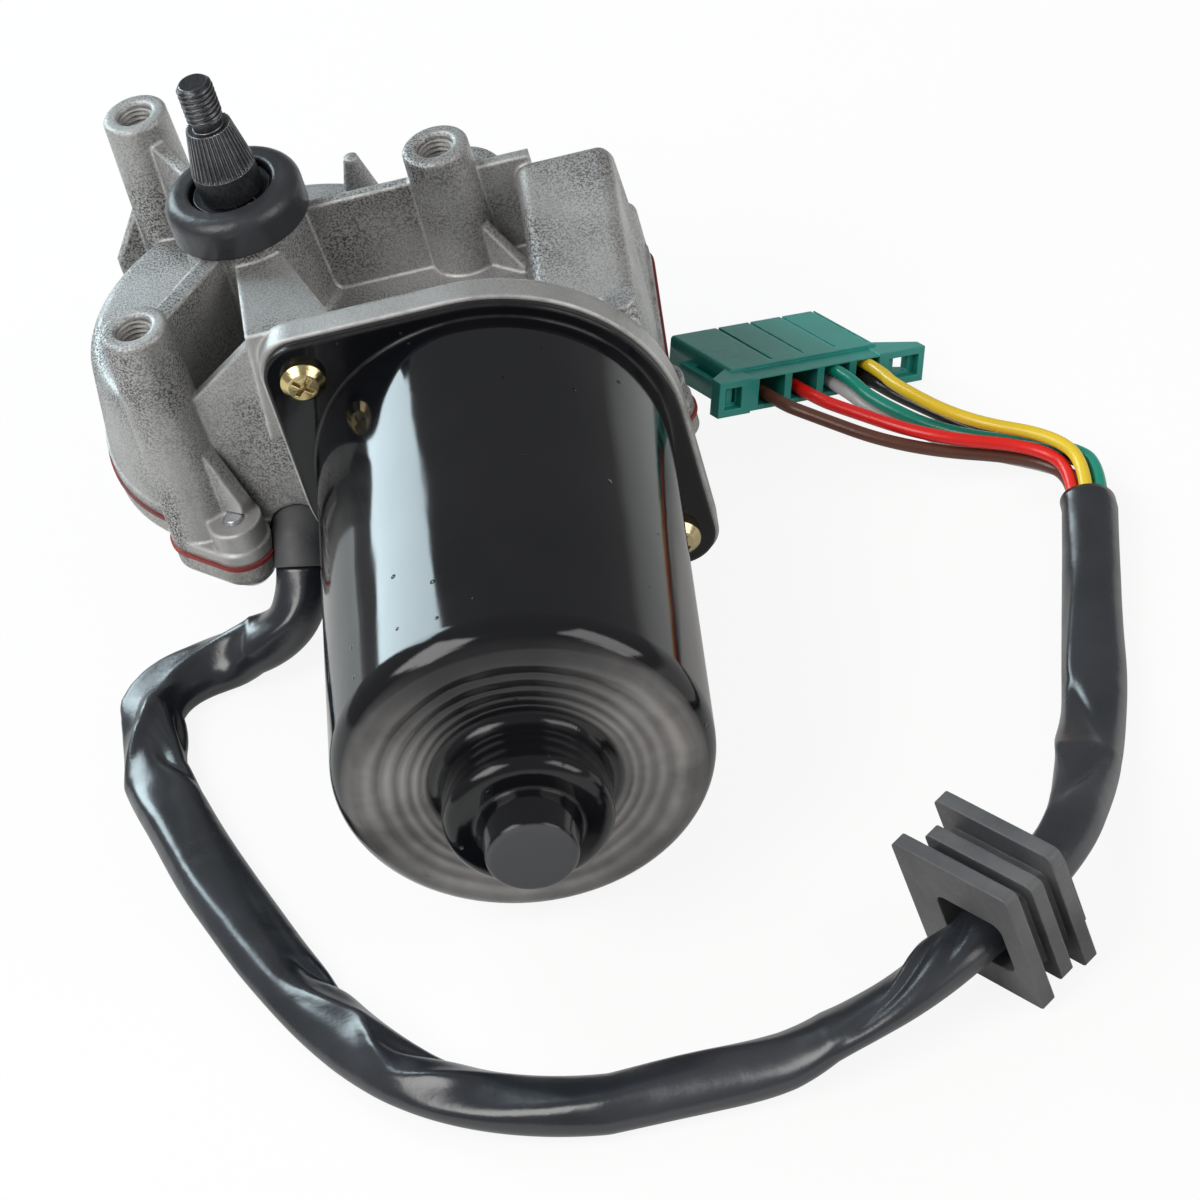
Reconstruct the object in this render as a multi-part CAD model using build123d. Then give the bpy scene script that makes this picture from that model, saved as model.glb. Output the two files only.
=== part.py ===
from build123d import *
import os
from math import acos, asin, atan, cos, degrees, hypot, pi, radians, sin, tan

# 24 V windscreen wiper motor. Millimetres, +Z up along the output shaft.
# The origin is on the output axis, in the plane of the three mounting post tops.
# The motor axis is parallel to Y, beside and below the origin, and the can points along -Y.

# ---- driving dimensions -------------------------------------------------------------------
# mounting posts
post_pcd = 90.0
post_top_d = 14.6
post_draft = 1.6            # degrees
post_bore_d = 8.0           # M8 thread, cut to its nominal diameter
post_bore_depth = 18.0
post_chamfer = 0.5

# worm gearing: the axis distance follows from the module and the tooth number
gear_module = 1.5
wheel_teeth = 50
worm_pitch_d = 13.0
worm_length = 26.0
wheel_face = 12.0
pressure_angle = 20.0
flank_play = 0.25           # between a tooth flank and the worm thread
tooth_clearance = 0.25      # tip to root, in modules
wheel_rim_wall = 4.625      # from the tooth roots inwards
wheel_web_t = 5.0
wheel_ribs = 12
hub_disc_r = 11.5

# heights below the post tops
motor_z = -44.0             # motor axis and wheel mid plane
joint_z = -57.4             # joint face between housing and cover
deck_z = -30.0              # flat top of the wheel chamber
hub_top_z = -1.5

# housing walls and outline
chamber_play = 2.0          # between the wheel's tips and the chamber wall
chamber_roof = 4.2
drum_wall_top = 1.2
drum_wall_base = 5.0
drum_edge_r = 3.5
hub_top_d = 26.6
hub_base_d = 30.6
bay_left_x = 60.0
bay_right_x = 82.0
bay_back_y = 24.0
bay_corner_r = 6.0
bay_wall = 3.5
wall_rib_top_z = -7.5
wall_rib_t = 2.6
rib_base_t = 4.6
cable_beside_can = 5.6      # from the round of the can flange to the cable's axis
cable_z = -58.2
grommet_neck_r = 6.4

# output shaft and what sits on it
shaft_d = 14.0
stud_d = 8.0
stud_relief_d = 6.6
stud_tip_z = 30.0
cone_small_d = 10.0
cone_top_z = 18.6
cone_base_z = 8.0
cone_teeth = 36
shaft_end_z = -55.8
bush_wall = 2.0
upper_bush_length = 12.0
lower_bush_length = 9.0
cap_d = 30.6
cap_top_z = 2.6
cap_bottom_z = -6.2
cap_edge_r = 3.4
cap_opening_play = 2.35
cap_gap = 0.08
seal_depth = 3.0
seal_wall = 3.0
washer_t = 1.2
washer_wall = 2.0
ring_t = 1.1
ring_wall = 1.5
ring_groove_depth = 0.6

# motor can and its flange
can_d = 76.0
can_wall = 2.5
can_length = 98.5           # from the flange face to the flat end
can_end_r = 6.5
can_flange_t = 2.0
can_flange_lip = 3.0        # round the can, beside it
ear_corner_r = 8.0
ear_inset_x = 5.0           # from the can's side inwards to the ear screws
ear_inset_z = 5.5
can_screw_d = 5.0
can_screw_length = 10.0
boss_d = 33.6
boss_length = 12.8
nose_d = 17.9
nose_length = 8.6

# housing flange that carries the can
flange_back_y = -46.5
flange_t = 6.0
flange_overhang = 0.8       # past the can flange
spigot_length = 3.0
spigot_wall = 3.0

# armature
armature_shaft_d = 8.0
rear_shaft_d = 12.0
tail_shaft_d = 6.0
tail_shaft_y = -16.5
rear_step_y = -48.0
shaft_tail_y = 24.0
core_d = 52.0
core_length = 46.0
core_end_y = -92.0
core_slots = 10
slot_r = 3.6
slot_mid_r = 19.0
winding_length = 9.0
winding_r = 24.0
commutator_d = 22.0
commutator_length = 17.0
commutator_bars = 20
air_gap = 0.8
magnet_length = 50.0
magnet_angle = 128.0
magnet_gap = 0.15
front_bearing_d = 22.0
front_bearing_w = 7.0
rear_bearing_d = 28.0
rear_bearing_w = 8.0
tail_bush_d = 13.0
tail_bush_length = 9.0
tail_wall_y = 30.0
thrust_ball_d = 5.0

# brush gear
brush_plate_t = 2.0
brush_w = 6.0
brush_h = 8.0
brush_length = 11.0

# park switch
park_inset = 1.0            # from the inside of the wheel's rim
park_t = 0.6
contact_plate_inset = 5.0   # from the chamber wall
contact_plate_t = 1.5
contact_track_insets = (13.5, 8.5, 3.5)     # from the edge of the park disc

# cover, gasket and their screws
gasket_t = 0.9
gasket_lip = 0.5
cover_t = 4.2
cover_skin = 2.4
cover_screw_d = 5.0
cover_ribs = 8
lug_r = 6.6
lug_height = 8.5
screw_head_d = 10.0
screw_head_h = 3.6

# harness: a soft sleeve lies on the surface that the motor rests on
floor_z = -85.8
sleeve_d = 11.2
wire_d = 2.9
front_lug_beside = 12.4     # from the cable's axis to the front lug screw
snout_corner_y = -47.4
snout_tip_shift = (-1.3, -4.8, -5.2)
snout_bend_r = 7.0
grommet_gap = 0.1
bend_share = 0.45           # of the shorter run on each side of a bend

# panel grommet, standing on its lower corner and threaded on the sleeve
panel_grommet_w = 30.4
panel_grommet_h = 31.6
panel_grommet_turn = Rot(0, 0, 39.2) * Rot(0, -3.5, 0) * Rot(-3.0, 0, 0)
panel_grommet_place = Pos(127.8, -187.6, -68.55) * panel_grommet_turn
panel_lip_t = 3.0
panel_groove_t = 3.2
panel_opening = (17.0, 13.8)
panel_opening_shift = (-1.6, -1.4)

# connector, propped up by its wires: its frame is set by the front upper left corner
plug_w = 40.0
plug_length = 28.0
plug_h = 8.2
plug_pitch = 8.8
plug_columns = 4
plug_first_x = 8.1
plug_cavity_w = 7.0
plug_wall = 1.0
plug_rows = (-2.45, -5.75)
plug_divider_start = 9.5
barrel_start = 4.03         # wires end here, inside the plug's mouth
wire_cavities = {"brown": (0, 1), "red": (1, 1), "green": (2, 0), "yellow": (3, 0),
                 "white": (2, 1), "black": (3, 1)}
plug_wing_span = (-6.0, 50.0)
plug_wing_length = 7.0
plug_frame = Plane(origin=(97.97, -30.79, -57.35), x_dir=(0.801, 0.440, -0.4059),
                   z_dir=(0.300, 0.2917, 0.9082))

# running and assembly clearances
fit_gap = 0.02              # radial, pressed and threaded pieces
running_gap = 0.03          # radial, shaft in its bush
loose_gap = 0.3             # between pieces that pass each other
side_gap = 0.3              # axial, between turning and fixed faces

# ---- derived places -----------------------------------------------------------------------
wheel_pitch_r = gear_module * wheel_teeth / 2
motor_x = wheel_pitch_r + worm_pitch_d / 2
wheel_tip_r = wheel_pitch_r + gear_module
wheel_root_r = wheel_pitch_r - (1 + tooth_clearance) * gear_module
worm_tip_r = worm_pitch_d / 2 + gear_module
worm_root_r = worm_pitch_d / 2 - (1 + tooth_clearance) * gear_module
worm_pitch = pi * gear_module
wheel_rim_r = wheel_root_r - wheel_rim_wall
chamber_r = wheel_tip_r + chamber_play
post_r = post_pcd / 2
cap_opening_d = shaft_d + 2 * cap_opening_play
seal_d = shaft_d + 2 * seal_wall
washer_d = shaft_d + 2 * washer_wall
ring_d = shaft_d + 2 * ring_wall
ring_groove_d = shaft_d - 2 * ring_groove_depth
can_flange_r = can_d / 2 + can_flange_lip
flange_r = can_flange_r + flange_overhang
ear_screw_dx = can_d / 2 - ear_inset_x
ear_screw_dz = can_d / 2 - ear_inset_z
cable_x = motor_x - can_flange_r - cable_beside_can
park_r = wheel_rim_r - park_inset
contact_plate_r = chamber_r - contact_plate_inset
contact_tracks = [park_r - inset for inset in contact_track_insets]
snout_corner = Vector(cable_x, snout_corner_y, cable_z)
snout_tip = snout_corner + Vector(snout_tip_shift)
flange_front_y = flange_back_y - flange_t
can_face_y = flange_front_y - can_flange_t
can_end_y = can_face_y - can_length
boss_end_y = can_end_y - boss_length
nose_end_y = boss_end_y - nose_length
drum_top_r = chamber_r + drum_wall_top
drum_base_r = chamber_r + drum_wall_base
roof_z = deck_z - chamber_roof
cover_top_z = joint_z - gasket_t
cover_bottom_z = cover_top_z - cover_t
bush_d = shaft_d + 2 * bush_wall
post_angles = (0, 120, 240)
worm_lead_angle = atan(worm_pitch / (pi * worm_pitch_d))
wheel_top_z = motor_z + wheel_face / 2
wheel_bottom_z = motor_z - wheel_face / 2
washer_z = hub_top_z + side_gap
ring_z = washer_z + washer_t + 0.1
spigot_r = can_d / 2 - can_wall - loose_gap
seal_wire = 0.8
seal_ring_r = can_d / 2 - can_wall - 0.05 - seal_wire
seal_y = flange_front_y - spigot_length / 2
bearing_seat_y = flange_back_y + 8
tail_bush_y = 18.0
play_screw_d = 8.0
rear_shaft_y = boss_end_y + can_wall + 0.4
brush_plate_y = flange_front_y - spigot_length
brush_end_r = commutator_d / 2 + brush_length
commutator_y = brush_plate_y - brush_plate_t - 0.5
cable_wall_y = flange_back_y + fit_gap


# ---- shared shape helpers -----------------------------------------------------------------
def turned(points, axis=Axis.Z):
    """Solid of revolution of (radius, height) points about Z, or about Y for motor parts."""
    if axis == Axis.Z:
        outline = [(r, 0, h) for r, h in points]
    else:
        outline = [(r, h, 0) for r, h in points]
    return revolve(make_face(Polyline(*outline, close=True)), axis)


def on_motor_axis(shape):
    """Move a shape modelled about the Y axis onto the motor axis."""
    return Pos(motor_x, 0, motor_z) * shape


def disc(radius, z0, z1, x=0.0, y=0.0):
    return Pos(x, y, z0) * extrude(Circle(radius), z1 - z0)


def axial(radius, y0, y1):
    """Cylinder on the motor axis, from y0 up to y1."""
    return on_motor_axis(Pos(0, y0, 0) * Rot(-90, 0, 0) * extrude(Circle(radius), y1 - y0))


def block(x0, x1, y0, y1, z0, z1):
    return Pos((x0 + x1) / 2, (y0 + y1) / 2, (z0 + z1) / 2) * Box(x1 - x0, y1 - y0, z1 - z0)


def upright_plate(outline, y0, thickness):
    """Extrude an XZ outline from y0 towards -Y."""
    return Pos(0, y0, 0) * extrude(Plane.XZ * outline, thickness)


def rib(start, end, base_z, top_start_z, top_end_z, top_t=2.4, base_t=rib_base_t):
    """Cast rib with draft between two plan points, its top sloping from start to end."""
    length = hypot(end[0] - start[0], end[1] - start[1])
    turn = degrees(asin((end[1] - start[1]) / length))
    if end[0] < start[0]:
        turn = 180 - turn
    foot = Polyline((0, -base_t / 2, base_z), (length, -base_t / 2, base_z),
                    (length, base_t / 2, base_z), (0, base_t / 2, base_z), close=True)
    crest = Polyline((0, -top_t / 2, top_start_z), (length, -top_t / 2, top_end_z),
                     (length, top_t / 2, top_end_z), (0, top_t / 2, top_start_z), close=True)
    return Pos(*start, 0) * Rot(0, 0, turn) * loft([make_face(foot), make_face(crest)], ruled=True)


def place_on_circle(radius, angle):
    return radius * cos(radians(angle)), radius * sin(radians(angle))


# ---- plan outline shared by housing rim, gasket and cover ---------------------------------
post_places = [place_on_circle(post_r, angle) for angle in post_angles]
post_foot_r = post_top_d / 2 - joint_z * tan(radians(post_draft))
front_lug = (cable_x - front_lug_beside, -48.5)
rear_lug = (-15.0, 48.5)
side_lug = (bay_right_x - 2.0, -35.5)
corner_lug = (bay_right_x - 8.0, bay_back_y - 7.0)
back_lug = (20.0, 46.5)
cover_screw_places = (front_lug, rear_lug, side_lug, corner_lug, back_lug)


def lug_outline(place, root, root_r, grow):
    lug = Pos(*place) * Circle(lug_r + grow)
    foot = Pos(*root) * Circle(root_r + grow)
    return make_hull(lug.edges() + foot.edges())


def base_outline(grow=0.0):
    """Plan outline of the joint face: wheel chamber, worm side, contact bay and screw lugs."""
    bay_w = bay_right_x + 2 * grow
    bay_h = bay_back_y - flange_back_y + grow
    shape = Circle(drum_base_r + grow)
    shape += Pos(bay_right_x / 2, flange_back_y + bay_h / 2) * RectangleRounded(
        bay_w, bay_h, bay_corner_r + grow)
    shape += lug_outline(front_lug, post_places[2], post_foot_r, grow)
    shape += lug_outline(rear_lug, post_places[1], post_foot_r, grow)
    shape += lug_outline(side_lug, (bay_right_x - 14, -30), 12, grow)
    shape += lug_outline(back_lug, (16, 34), 12, grow)
    return shape


def bay_profile():
    """Side profile (y, z) of the contact bay: its roof falls towards the can flange."""
    points = ((flange_back_y, joint_z), (flange_back_y, -21.5), (-2.0, -9.0), (5.0, -15.0),
              (13.0, -38.0), (bay_back_y, -44.0), (bay_back_y, joint_z))
    face = make_face(Polyline(*[(0, y, z) for y, z in points], close=True))
    return face


# ---- gear housing -------------------------------------------------------------------------
def mounting_post(place, base_z):
    base_r = post_top_d / 2 - base_z * tan(radians(post_draft))
    post = turned([(0, base_z), (base_r, base_z), (post_top_d / 2, 0), (0, 0)])
    rim = post.edges().filter_by(GeomType.CIRCLE).sort_by(Axis.Z)[-1]
    return Pos(*place, 0) * fillet(rim, 0.9)


def post_bore(place):
    bore = disc(post_bore_d / 2, -post_bore_depth, 1.0)
    mouth_r = post_bore_d / 2 + post_chamfer
    mouth = turned([(0, -post_chamfer), (post_bore_d / 2, -post_chamfer), (mouth_r, 0),
                    (mouth_r, 1.0), (0, 1.0)])
    return Pos(*place, 0) * (bore + mouth)


def drum_and_hub():
    """Wheel chamber and output hub, turned in one piece with rounded edges."""
    shape = turned([(0, joint_z), (drum_base_r, joint_z), (drum_top_r, deck_z),
                    (hub_base_d / 2, deck_z), (hub_top_d / 2, hub_top_z), (0, hub_top_z)])
    rings = shape.edges().filter_by(GeomType.CIRCLE)
    outer = rings.filter_by(lambda e: abs(e.radius - drum_top_r) < 0.01)
    root = rings.filter_by(lambda e: abs(e.radius - hub_base_d / 2) < 0.01)
    shape = fillet(outer, drum_edge_r)
    root = shape.edges().filter_by(GeomType.CIRCLE).filter_by(
        lambda e: abs(e.radius - hub_base_d / 2) < 0.01)
    return fillet(root, 2.5)


def contact_bay():
    """Closed bay beside the worm for the park contacts, with rounded top edges."""
    bay = Pos(bay_left_x, 0, 0) * extrude(bay_profile(), amount=bay_right_x - 0.7 - bay_left_x,
                                          dir=(1, 0, 0))
    top = bay.edges().filter_by(lambda e: e.center().Z > -42 and e.center().Y > flange_back_y + 1)
    return fillet(top, 3.0)


def flange_outline(radius):
    """Round can flange with two square ears across one diagonal."""
    shape = Circle(radius)
    for side in (-1, 1):
        ear = Pos(side * radius / 2, -side * radius / 2) * Rectangle(radius, radius)
        corner = ear.vertices().sort_by(lambda v: -side * (v.X - v.Y))[0]
        shape += fillet(corner, ear_corner_r)
    return Pos(motor_x, motor_z) * shape


ear_places = ((motor_x - ear_screw_dx, motor_z + ear_screw_dz),
              (motor_x + ear_screw_dx, motor_z - ear_screw_dz))


def gear_housing():
    """Die-cast housing: chamber, hub, posts, worm tunnel, contact bay, can flange and ribs."""
    body = drum_and_hub()
    body += extrude(Pos(0, 0, joint_z) * base_outline(), 3.2)
    for place, base_z in zip(post_places, (deck_z, joint_z, joint_z)):
        body += mounting_post(place, base_z)
    tunnel = block(motor_x - 26, motor_x + 17, flange_back_y, tail_wall_y, joint_z, deck_z)
    tunnel_back = tunnel.edges().filter_by(Axis.X).filter_by(lambda e: e.center().Z > deck_z - 1)
    body += fillet(tunnel_back.sort_by(Axis.Y)[-1:], 5.0)
    body += contact_bay()
    for place in cover_screw_places:
        body += disc(lug_r - 0.6, joint_z, joint_z + lug_height, *place)
    # boss over the tail bearing and a small locating cone on the deck
    tail_boss = disc(11.5, joint_z, -20.0, motor_x + 1, 17.0)
    body += fillet(tail_boss.edges().filter_by(GeomType.CIRCLE).sort_by(Axis.Z)[-1], 4.0)
    body += Pos(22, 31, 0) * turned([(0, deck_z - 1), (4.6, deck_z - 1), (1.6, -19.5), (0, -19.0)])
    body += disc(3.8, deck_z, -19.6, bay_right_x - 4.4, -41.8)
    # stiffening ribs
    body += rib((0, 0), (bay_left_x + 4, 0), deck_z - 1, wall_rib_top_z, wall_rib_top_z, wall_rib_t)
    body += rib((0, 0), post_places[2], deck_z - 1, -8.0, -3.5, 4.6, 6.4)
    body += rib((0, 0), post_places[1], deck_z - 1, -8.5, -4.5, 3.0, 5.2)
    body += rib((front_lug[0], -40.5), (3, -44), joint_z + 4, -20.0, -5.0, 3.0, 4.0)
    body += rib(post_places[0], (motor_x + 14, -11), deck_z - 1, -12.0, -29.0, 2.2, 3.4)
    body += rib(post_places[2], (-11.5, -47.5), joint_z + 2, -14.0, -46.0, 3.4, 5.0)
    body += rib(post_places[1], (-37.5, 36.0), joint_z + 2, -12.0, -36.0, 2.4, 3.6)
    body += hub_web()
    # can flange with its locating spigot
    body += upright_plate(flange_outline(flange_r), flange_back_y, flange_t)
    body += axial(spigot_r, flange_front_y - spigot_length, flange_front_y)
    return cut_housing(body)


def hub_web():
    """Web that carries the load from the output hub into the can flange."""
    foot = Polyline((-4.5, -8, deck_z - 1), (9, -8, deck_z - 1), (22, flange_back_y - 1, deck_z - 1),
                    (-1.5, flange_back_y - 1, deck_z - 1), close=True)
    crest = Polyline((-3.0, -8, -10.5), (6.2, -8, -10.5), (20, flange_back_y - 1, -3.0),
                     (1.0, flange_back_y - 1, -3.0), close=True)
    return loft([make_face(foot), make_face(crest)], ruled=True)


def bay_cavity():
    inner = offset(bay_profile(), -bay_wall, kind=Kind.INTERSECTION)
    width = bay_right_x - bay_left_x - 2 * bay_wall
    cavity = Pos(bay_left_x + bay_wall, 0, 0) * extrude(inner, amount=width, dir=(1, 0, 0))
    return cavity + block(bay_left_x + bay_wall, bay_left_x + bay_wall + width, flange_back_y + bay_wall,
                          bay_back_y - bay_wall, joint_z - 1, joint_z + 6)


def seal_groove():
    ring = turned([(seal_ring_r - seal_wire, -seal_wire - 0.1), (spigot_r + 1, -seal_wire - 0.1),
                   (spigot_r + 1, seal_wire + 0.1), (seal_ring_r - seal_wire, seal_wire + 0.1)], Axis.Y)
    return on_motor_axis(Pos(0, seal_y, 0) * ring)


def cut_housing(body):
    """Cavities, bores and threaded holes of the housing."""
    body -= disc(chamber_r, joint_z - 1, roof_z)
    body -= disc(bush_d / 2 + fit_gap, roof_z - 1, hub_top_z + 1)
    body -= disc(seal_d / 2, hub_top_z - seal_depth, hub_top_z + 1)
    body -= axial(spigot_r - spigot_wall, flange_front_y - spigot_length - 1, flange_front_y + 2.5)
    body -= seal_groove()
    body -= axial(front_bearing_d / 2 + fit_gap, flange_front_y, bearing_seat_y)
    body -= axial(worm_tip_r + 1.2, flange_back_y, tail_bush_y)
    body -= axial(tail_bush_d / 2 + fit_gap, tail_bush_y - 1, tail_bush_y + tail_bush_length)
    body -= axial(play_screw_d / 2, tail_bush_y, tail_wall_y + 1)
    body -= bay_cavity()
    for place in post_places:
        body -= post_bore(place)
    for x, z in ear_places:
        hole = extrude(Circle(can_screw_d / 2), can_screw_length + 1)
        body -= Pos(x, can_face_y + can_screw_length + 0.5, z) * Rot(90, 0, 0) * hole
    for place in cover_screw_places:
        body -= disc(cover_screw_d / 2, joint_z - 1, joint_z + lug_height + 1, *place)
    return body - cable_seat()


def cable_seat():
    """Round seat for the cable grommet, half in the housing and half in the cover."""
    seat = extrude(Circle(grommet_neck_r), 22)
    seat = Pos(cable_x, cable_wall_y + 20, cable_z) * Rot(90, 0, 0) * seat
    return seat + cable_relief()


def snout_path(run_on):
    """Way out of the cable seat and down, run on past the end of the snout by this much."""
    way_down = snout_tip - snout_corner
    end = snout_corner + way_down.normalized() * (way_down.length + run_on)
    return FilletPolyline((cable_x, flange_back_y + 8, cable_z), snout_corner, end, radius=snout_bend_r)


def cable_relief():
    """Room outside the wall for the snout and the first of the sleeve."""
    path = snout_path(5.0)
    room = sweep(Plane(origin=path @ 0, z_dir=path % 0) * Circle(grommet_neck_r + 0.3), path)
    return room & block(-40, 40, -90, flange_back_y + 3, floor_z, 0)


# ---- output shaft, bushes and seals -------------------------------------------------------
def serrated_cone():
    """Taper with fine straight serrations that grips the wiper arm head."""
    def star(radius, z):
        points = []
        for i in range(2 * cone_teeth):
            r = radius - (i % 2) * 0.07 * radius
            x, y = place_on_circle(r, 180 * i / cone_teeth)
            points.append((x, y, z))
        return make_face(Polyline(*points, close=True))
    return loft([star(shaft_d / 2, cone_base_z), star(cone_small_d / 2, cone_top_z)], ruled=True)


def output_shaft():
    journal_r = shaft_d / 2
    journal = turned([(0, shaft_end_z), (journal_r - 0.8, shaft_end_z), (journal_r, shaft_end_z + 0.8),
                      (journal_r, ring_z - 0.05), (ring_groove_d / 2, ring_z - 0.05),
                      (ring_groove_d / 2, ring_z + ring_t + 0.05), (journal_r, ring_z + ring_t + 0.05),
                      (journal_r, cone_base_z), (0, cone_base_z)])
    stud_r = stud_d / 2
    stud = turned([(0, cone_top_z), (stud_relief_d / 2, cone_top_z), (stud_relief_d / 2, cone_top_z + 1.4),
                   (stud_r, cone_top_z + 2.0), (stud_r, stud_tip_z - 0.9), (stud_r - 0.9, stud_tip_z),
                   (0, stud_tip_z)])
    return journal + serrated_cone() + stud


def bush(inner_r, outer_r, z0, z1):
    shape = disc(outer_r, z0, z1) - disc(inner_r, z0 - 1, z1 + 1)
    return chamfer(shape.edges().filter_by(GeomType.CIRCLE), 0.35)


def output_bush_upper():
    top = hub_top_z - seal_depth
    return bush(shaft_d / 2 + running_gap, bush_d / 2, top - upper_bush_length, top)


def output_bush_lower():
    return bush(shaft_d / 2 + running_gap, bush_d / 2, roof_z, roof_z + lower_bush_length)


def shaft_seal():
    """Lip seal in the counterbore at the top of the hub."""
    low = hub_top_z - seal_depth
    return turned([(shaft_d / 2 + 1.2, low), (seal_d / 2 - fit_gap, low), (seal_d / 2 - fit_gap, low + 2.6),
                   (shaft_d / 2 + 1.6, low + 2.6), (shaft_d / 2 + running_gap, low + 1.9),
                   (shaft_d / 2 + running_gap, low + 1.5)])


def shaft_cap():
    """Moulded rubber cap pressed over the hub, open round the shaft."""
    outer = cap_d / 2
    slope = (hub_base_d - hub_top_d) / 2 / (hub_top_z - deck_z)
    skirt_r = hub_top_d / 2 + slope * (hub_top_z - cap_bottom_z)
    cap = turned([(cap_opening_d / 2, hub_top_z), (hub_top_d / 2 + cap_gap, hub_top_z),
                  (skirt_r + cap_gap, cap_bottom_z), (outer, cap_bottom_z), (outer, cap_top_z),
                  (cap_opening_d / 2, cap_top_z)])
    rings = cap.edges().filter_by(GeomType.CIRCLE).sort_by(Axis.Z)
    cap = fillet(rings[-2:].sort_by(SortBy.RADIUS)[-1], cap_edge_r)
    mouth = cap.edges().filter_by(GeomType.CIRCLE).sort_by(Axis.Z)[-2:].sort_by(SortBy.RADIUS)[0]
    return fillet(mouth, 0.8)


def shaft_washer():
    return disc(washer_d / 2, washer_z, washer_z + washer_t) - disc(
        shaft_d / 2 + running_gap, washer_z - 1, ring_z + 1)


def retaining_ring():
    ring = disc(ring_d / 2, ring_z, ring_z + ring_t) - disc(ring_groove_d / 2 + 0.05, ring_z - 1, ring_z + 3)
    gap = block(0, ring_d, -2.2, 2.2, ring_z - 1, ring_z + 3)
    return Rot(0, 0, -65) * (ring - gap)


def thrust_washer():
    low = roof_z - side_gap - washer_t
    ring = disc(hub_disc_r, low, low + washer_t)
    return ring - disc(shaft_d / 2 + running_gap, low - 1, low + 3)


# ---- worm gearing -------------------------------------------------------------------------
def involute(angle):
    return tan(angle) - angle


def wheel_section():
    """Transverse section of the wheel with involute flanks."""
    base_r = wheel_pitch_r * cos(radians(pressure_angle))
    half_pitch = (worm_pitch / 4 - flank_play / 2) / wheel_pitch_r
    flank = []
    for r in (wheel_root_r, wheel_pitch_r, wheel_tip_r):
        roll = involute(radians(pressure_angle)) - involute(acos(min(1.0, base_r / r)))
        flank.append((r, half_pitch + roll))
    points = []
    for i in range(wheel_teeth):
        middle = 2 * pi * (i + 0.5) / wheel_teeth
        points += [(r * cos(middle - a), r * sin(middle - a)) for r, a in flank]
        points += [(r * cos(middle + a), r * sin(middle + a)) for r, a in reversed(flank)]
    return make_face(Polyline(*points, close=True))


def wheel_bore(grow=0.0):
    return RegularPolygon(hub_disc_r + grow, 8)


def worm_wheel():
    """Moulded wheel: twisted teeth, thin web stiffened by radial ribs, keyed eight-sided bore."""
    twist = degrees(wheel_face * tan(worm_lead_angle) / wheel_pitch_r)
    section = Pos(0, 0, wheel_bottom_z) * Rot(0, 0, -twist / 2) * wheel_section()
    wheel = Solid.extrude_linear_with_rotation(section.face(), (0, 0, 0), (0, 0, wheel_face), twist)
    wheel = Part(wheel.wrapped)
    recess = disc(wheel_rim_r, wheel_bottom_z + wheel_web_t, wheel_top_z + 1)
    recess -= disc(hub_disc_r + 4, wheel_bottom_z, wheel_top_z + 2)
    for i in range(wheel_ribs):
        spoke = block(hub_disc_r, wheel_rim_r + 2, -1.0, 1.0, wheel_bottom_z, wheel_top_z - 1)
        recess -= Rot(0, 0, 360 * i / wheel_ribs) * spoke
    wheel -= recess
    bore = extrude(Pos(0, 0, wheel_bottom_z - 1) * wheel_bore(fit_gap), wheel_face + 2)
    return wheel - bore


def wheel_hub():
    """Steel hub the wheel is moulded on, pressed on the output shaft."""
    top = roof_z - 2 * side_gap - washer_t
    hub = extrude(Pos(0, 0, wheel_bottom_z) * wheel_bore(), top - wheel_bottom_z)
    return hub - disc(shaft_d / 2 + fit_gap, wheel_bottom_z - 1, top + 1)


def worm():
    """Single-start worm sleeve pressed on the armature shaft, the thread swept along a helix."""
    crest = worm_pitch / 4 - flank_play / 2
    slope = tan(radians(pressure_angle))
    tip = crest - slope * gear_module
    root = crest + slope * (worm_pitch_d / 2 - worm_root_r + 0.3)
    turns = worm_length / worm_pitch
    path = Helix(worm_pitch, worm_length, worm_pitch_d / 2)
    start = Plane(origin=path @ 0, x_dir=(1, 0, 0), z_dir=path % 0)
    rise = cos(worm_lead_angle)
    profile = make_face(Polyline((gear_module, -tip * rise), (gear_module, tip * rise),
                                 (worm_root_r - 0.3 - worm_pitch_d / 2, root * rise),
                                 (worm_root_r - 0.3 - worm_pitch_d / 2, -root * rise), close=True))
    thread = sweep(start * profile, path, is_frenet=True)
    core = disc(worm_root_r, -3, worm_length + 3)
    thread = thread & disc(worm_tip_r + 1, 1.2, worm_length - 1.2)
    sleeve = core + thread - disc(tail_shaft_d / 2 + fit_gap, -4, worm_length + 4)
    phase = 360 * (turns / 2 % 1)
    upright = Pos(0, 0, -worm_length / 2) * Rot(0, 0, 180 - phase) * sleeve
    return on_motor_axis(Rot(-90, 0, 0) * upright)


def park_disc():
    """Brass cam disc on the underside of the wheel that stops the motor in park position."""
    low = wheel_bottom_z - park_t
    plate = disc(park_r, low, wheel_bottom_z) - disc(hub_disc_r + 2, low - 1, wheel_bottom_z + 1)
    window = disc(park_r - 3, low - 1, wheel_bottom_z + 1) - disc(park_r - 9, low - 2, wheel_bottom_z + 2)
    window &= block(0, park_r, -9, 9, low - 1, wheel_bottom_z + 1)
    return plate - window


def contact_plate():
    """Insulating plate on the cover that carries the park contacts."""
    plate = disc(contact_plate_r, cover_top_z, cover_top_z + contact_plate_t)
    plate &= block(-26, 26, -contact_plate_r, -12, cover_top_z - 1, cover_top_z + 3)
    for x in (-20, 20):
        plate -= disc(1.6, cover_top_z - 1, cover_top_z + 3, x, -17)
    return plate


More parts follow.
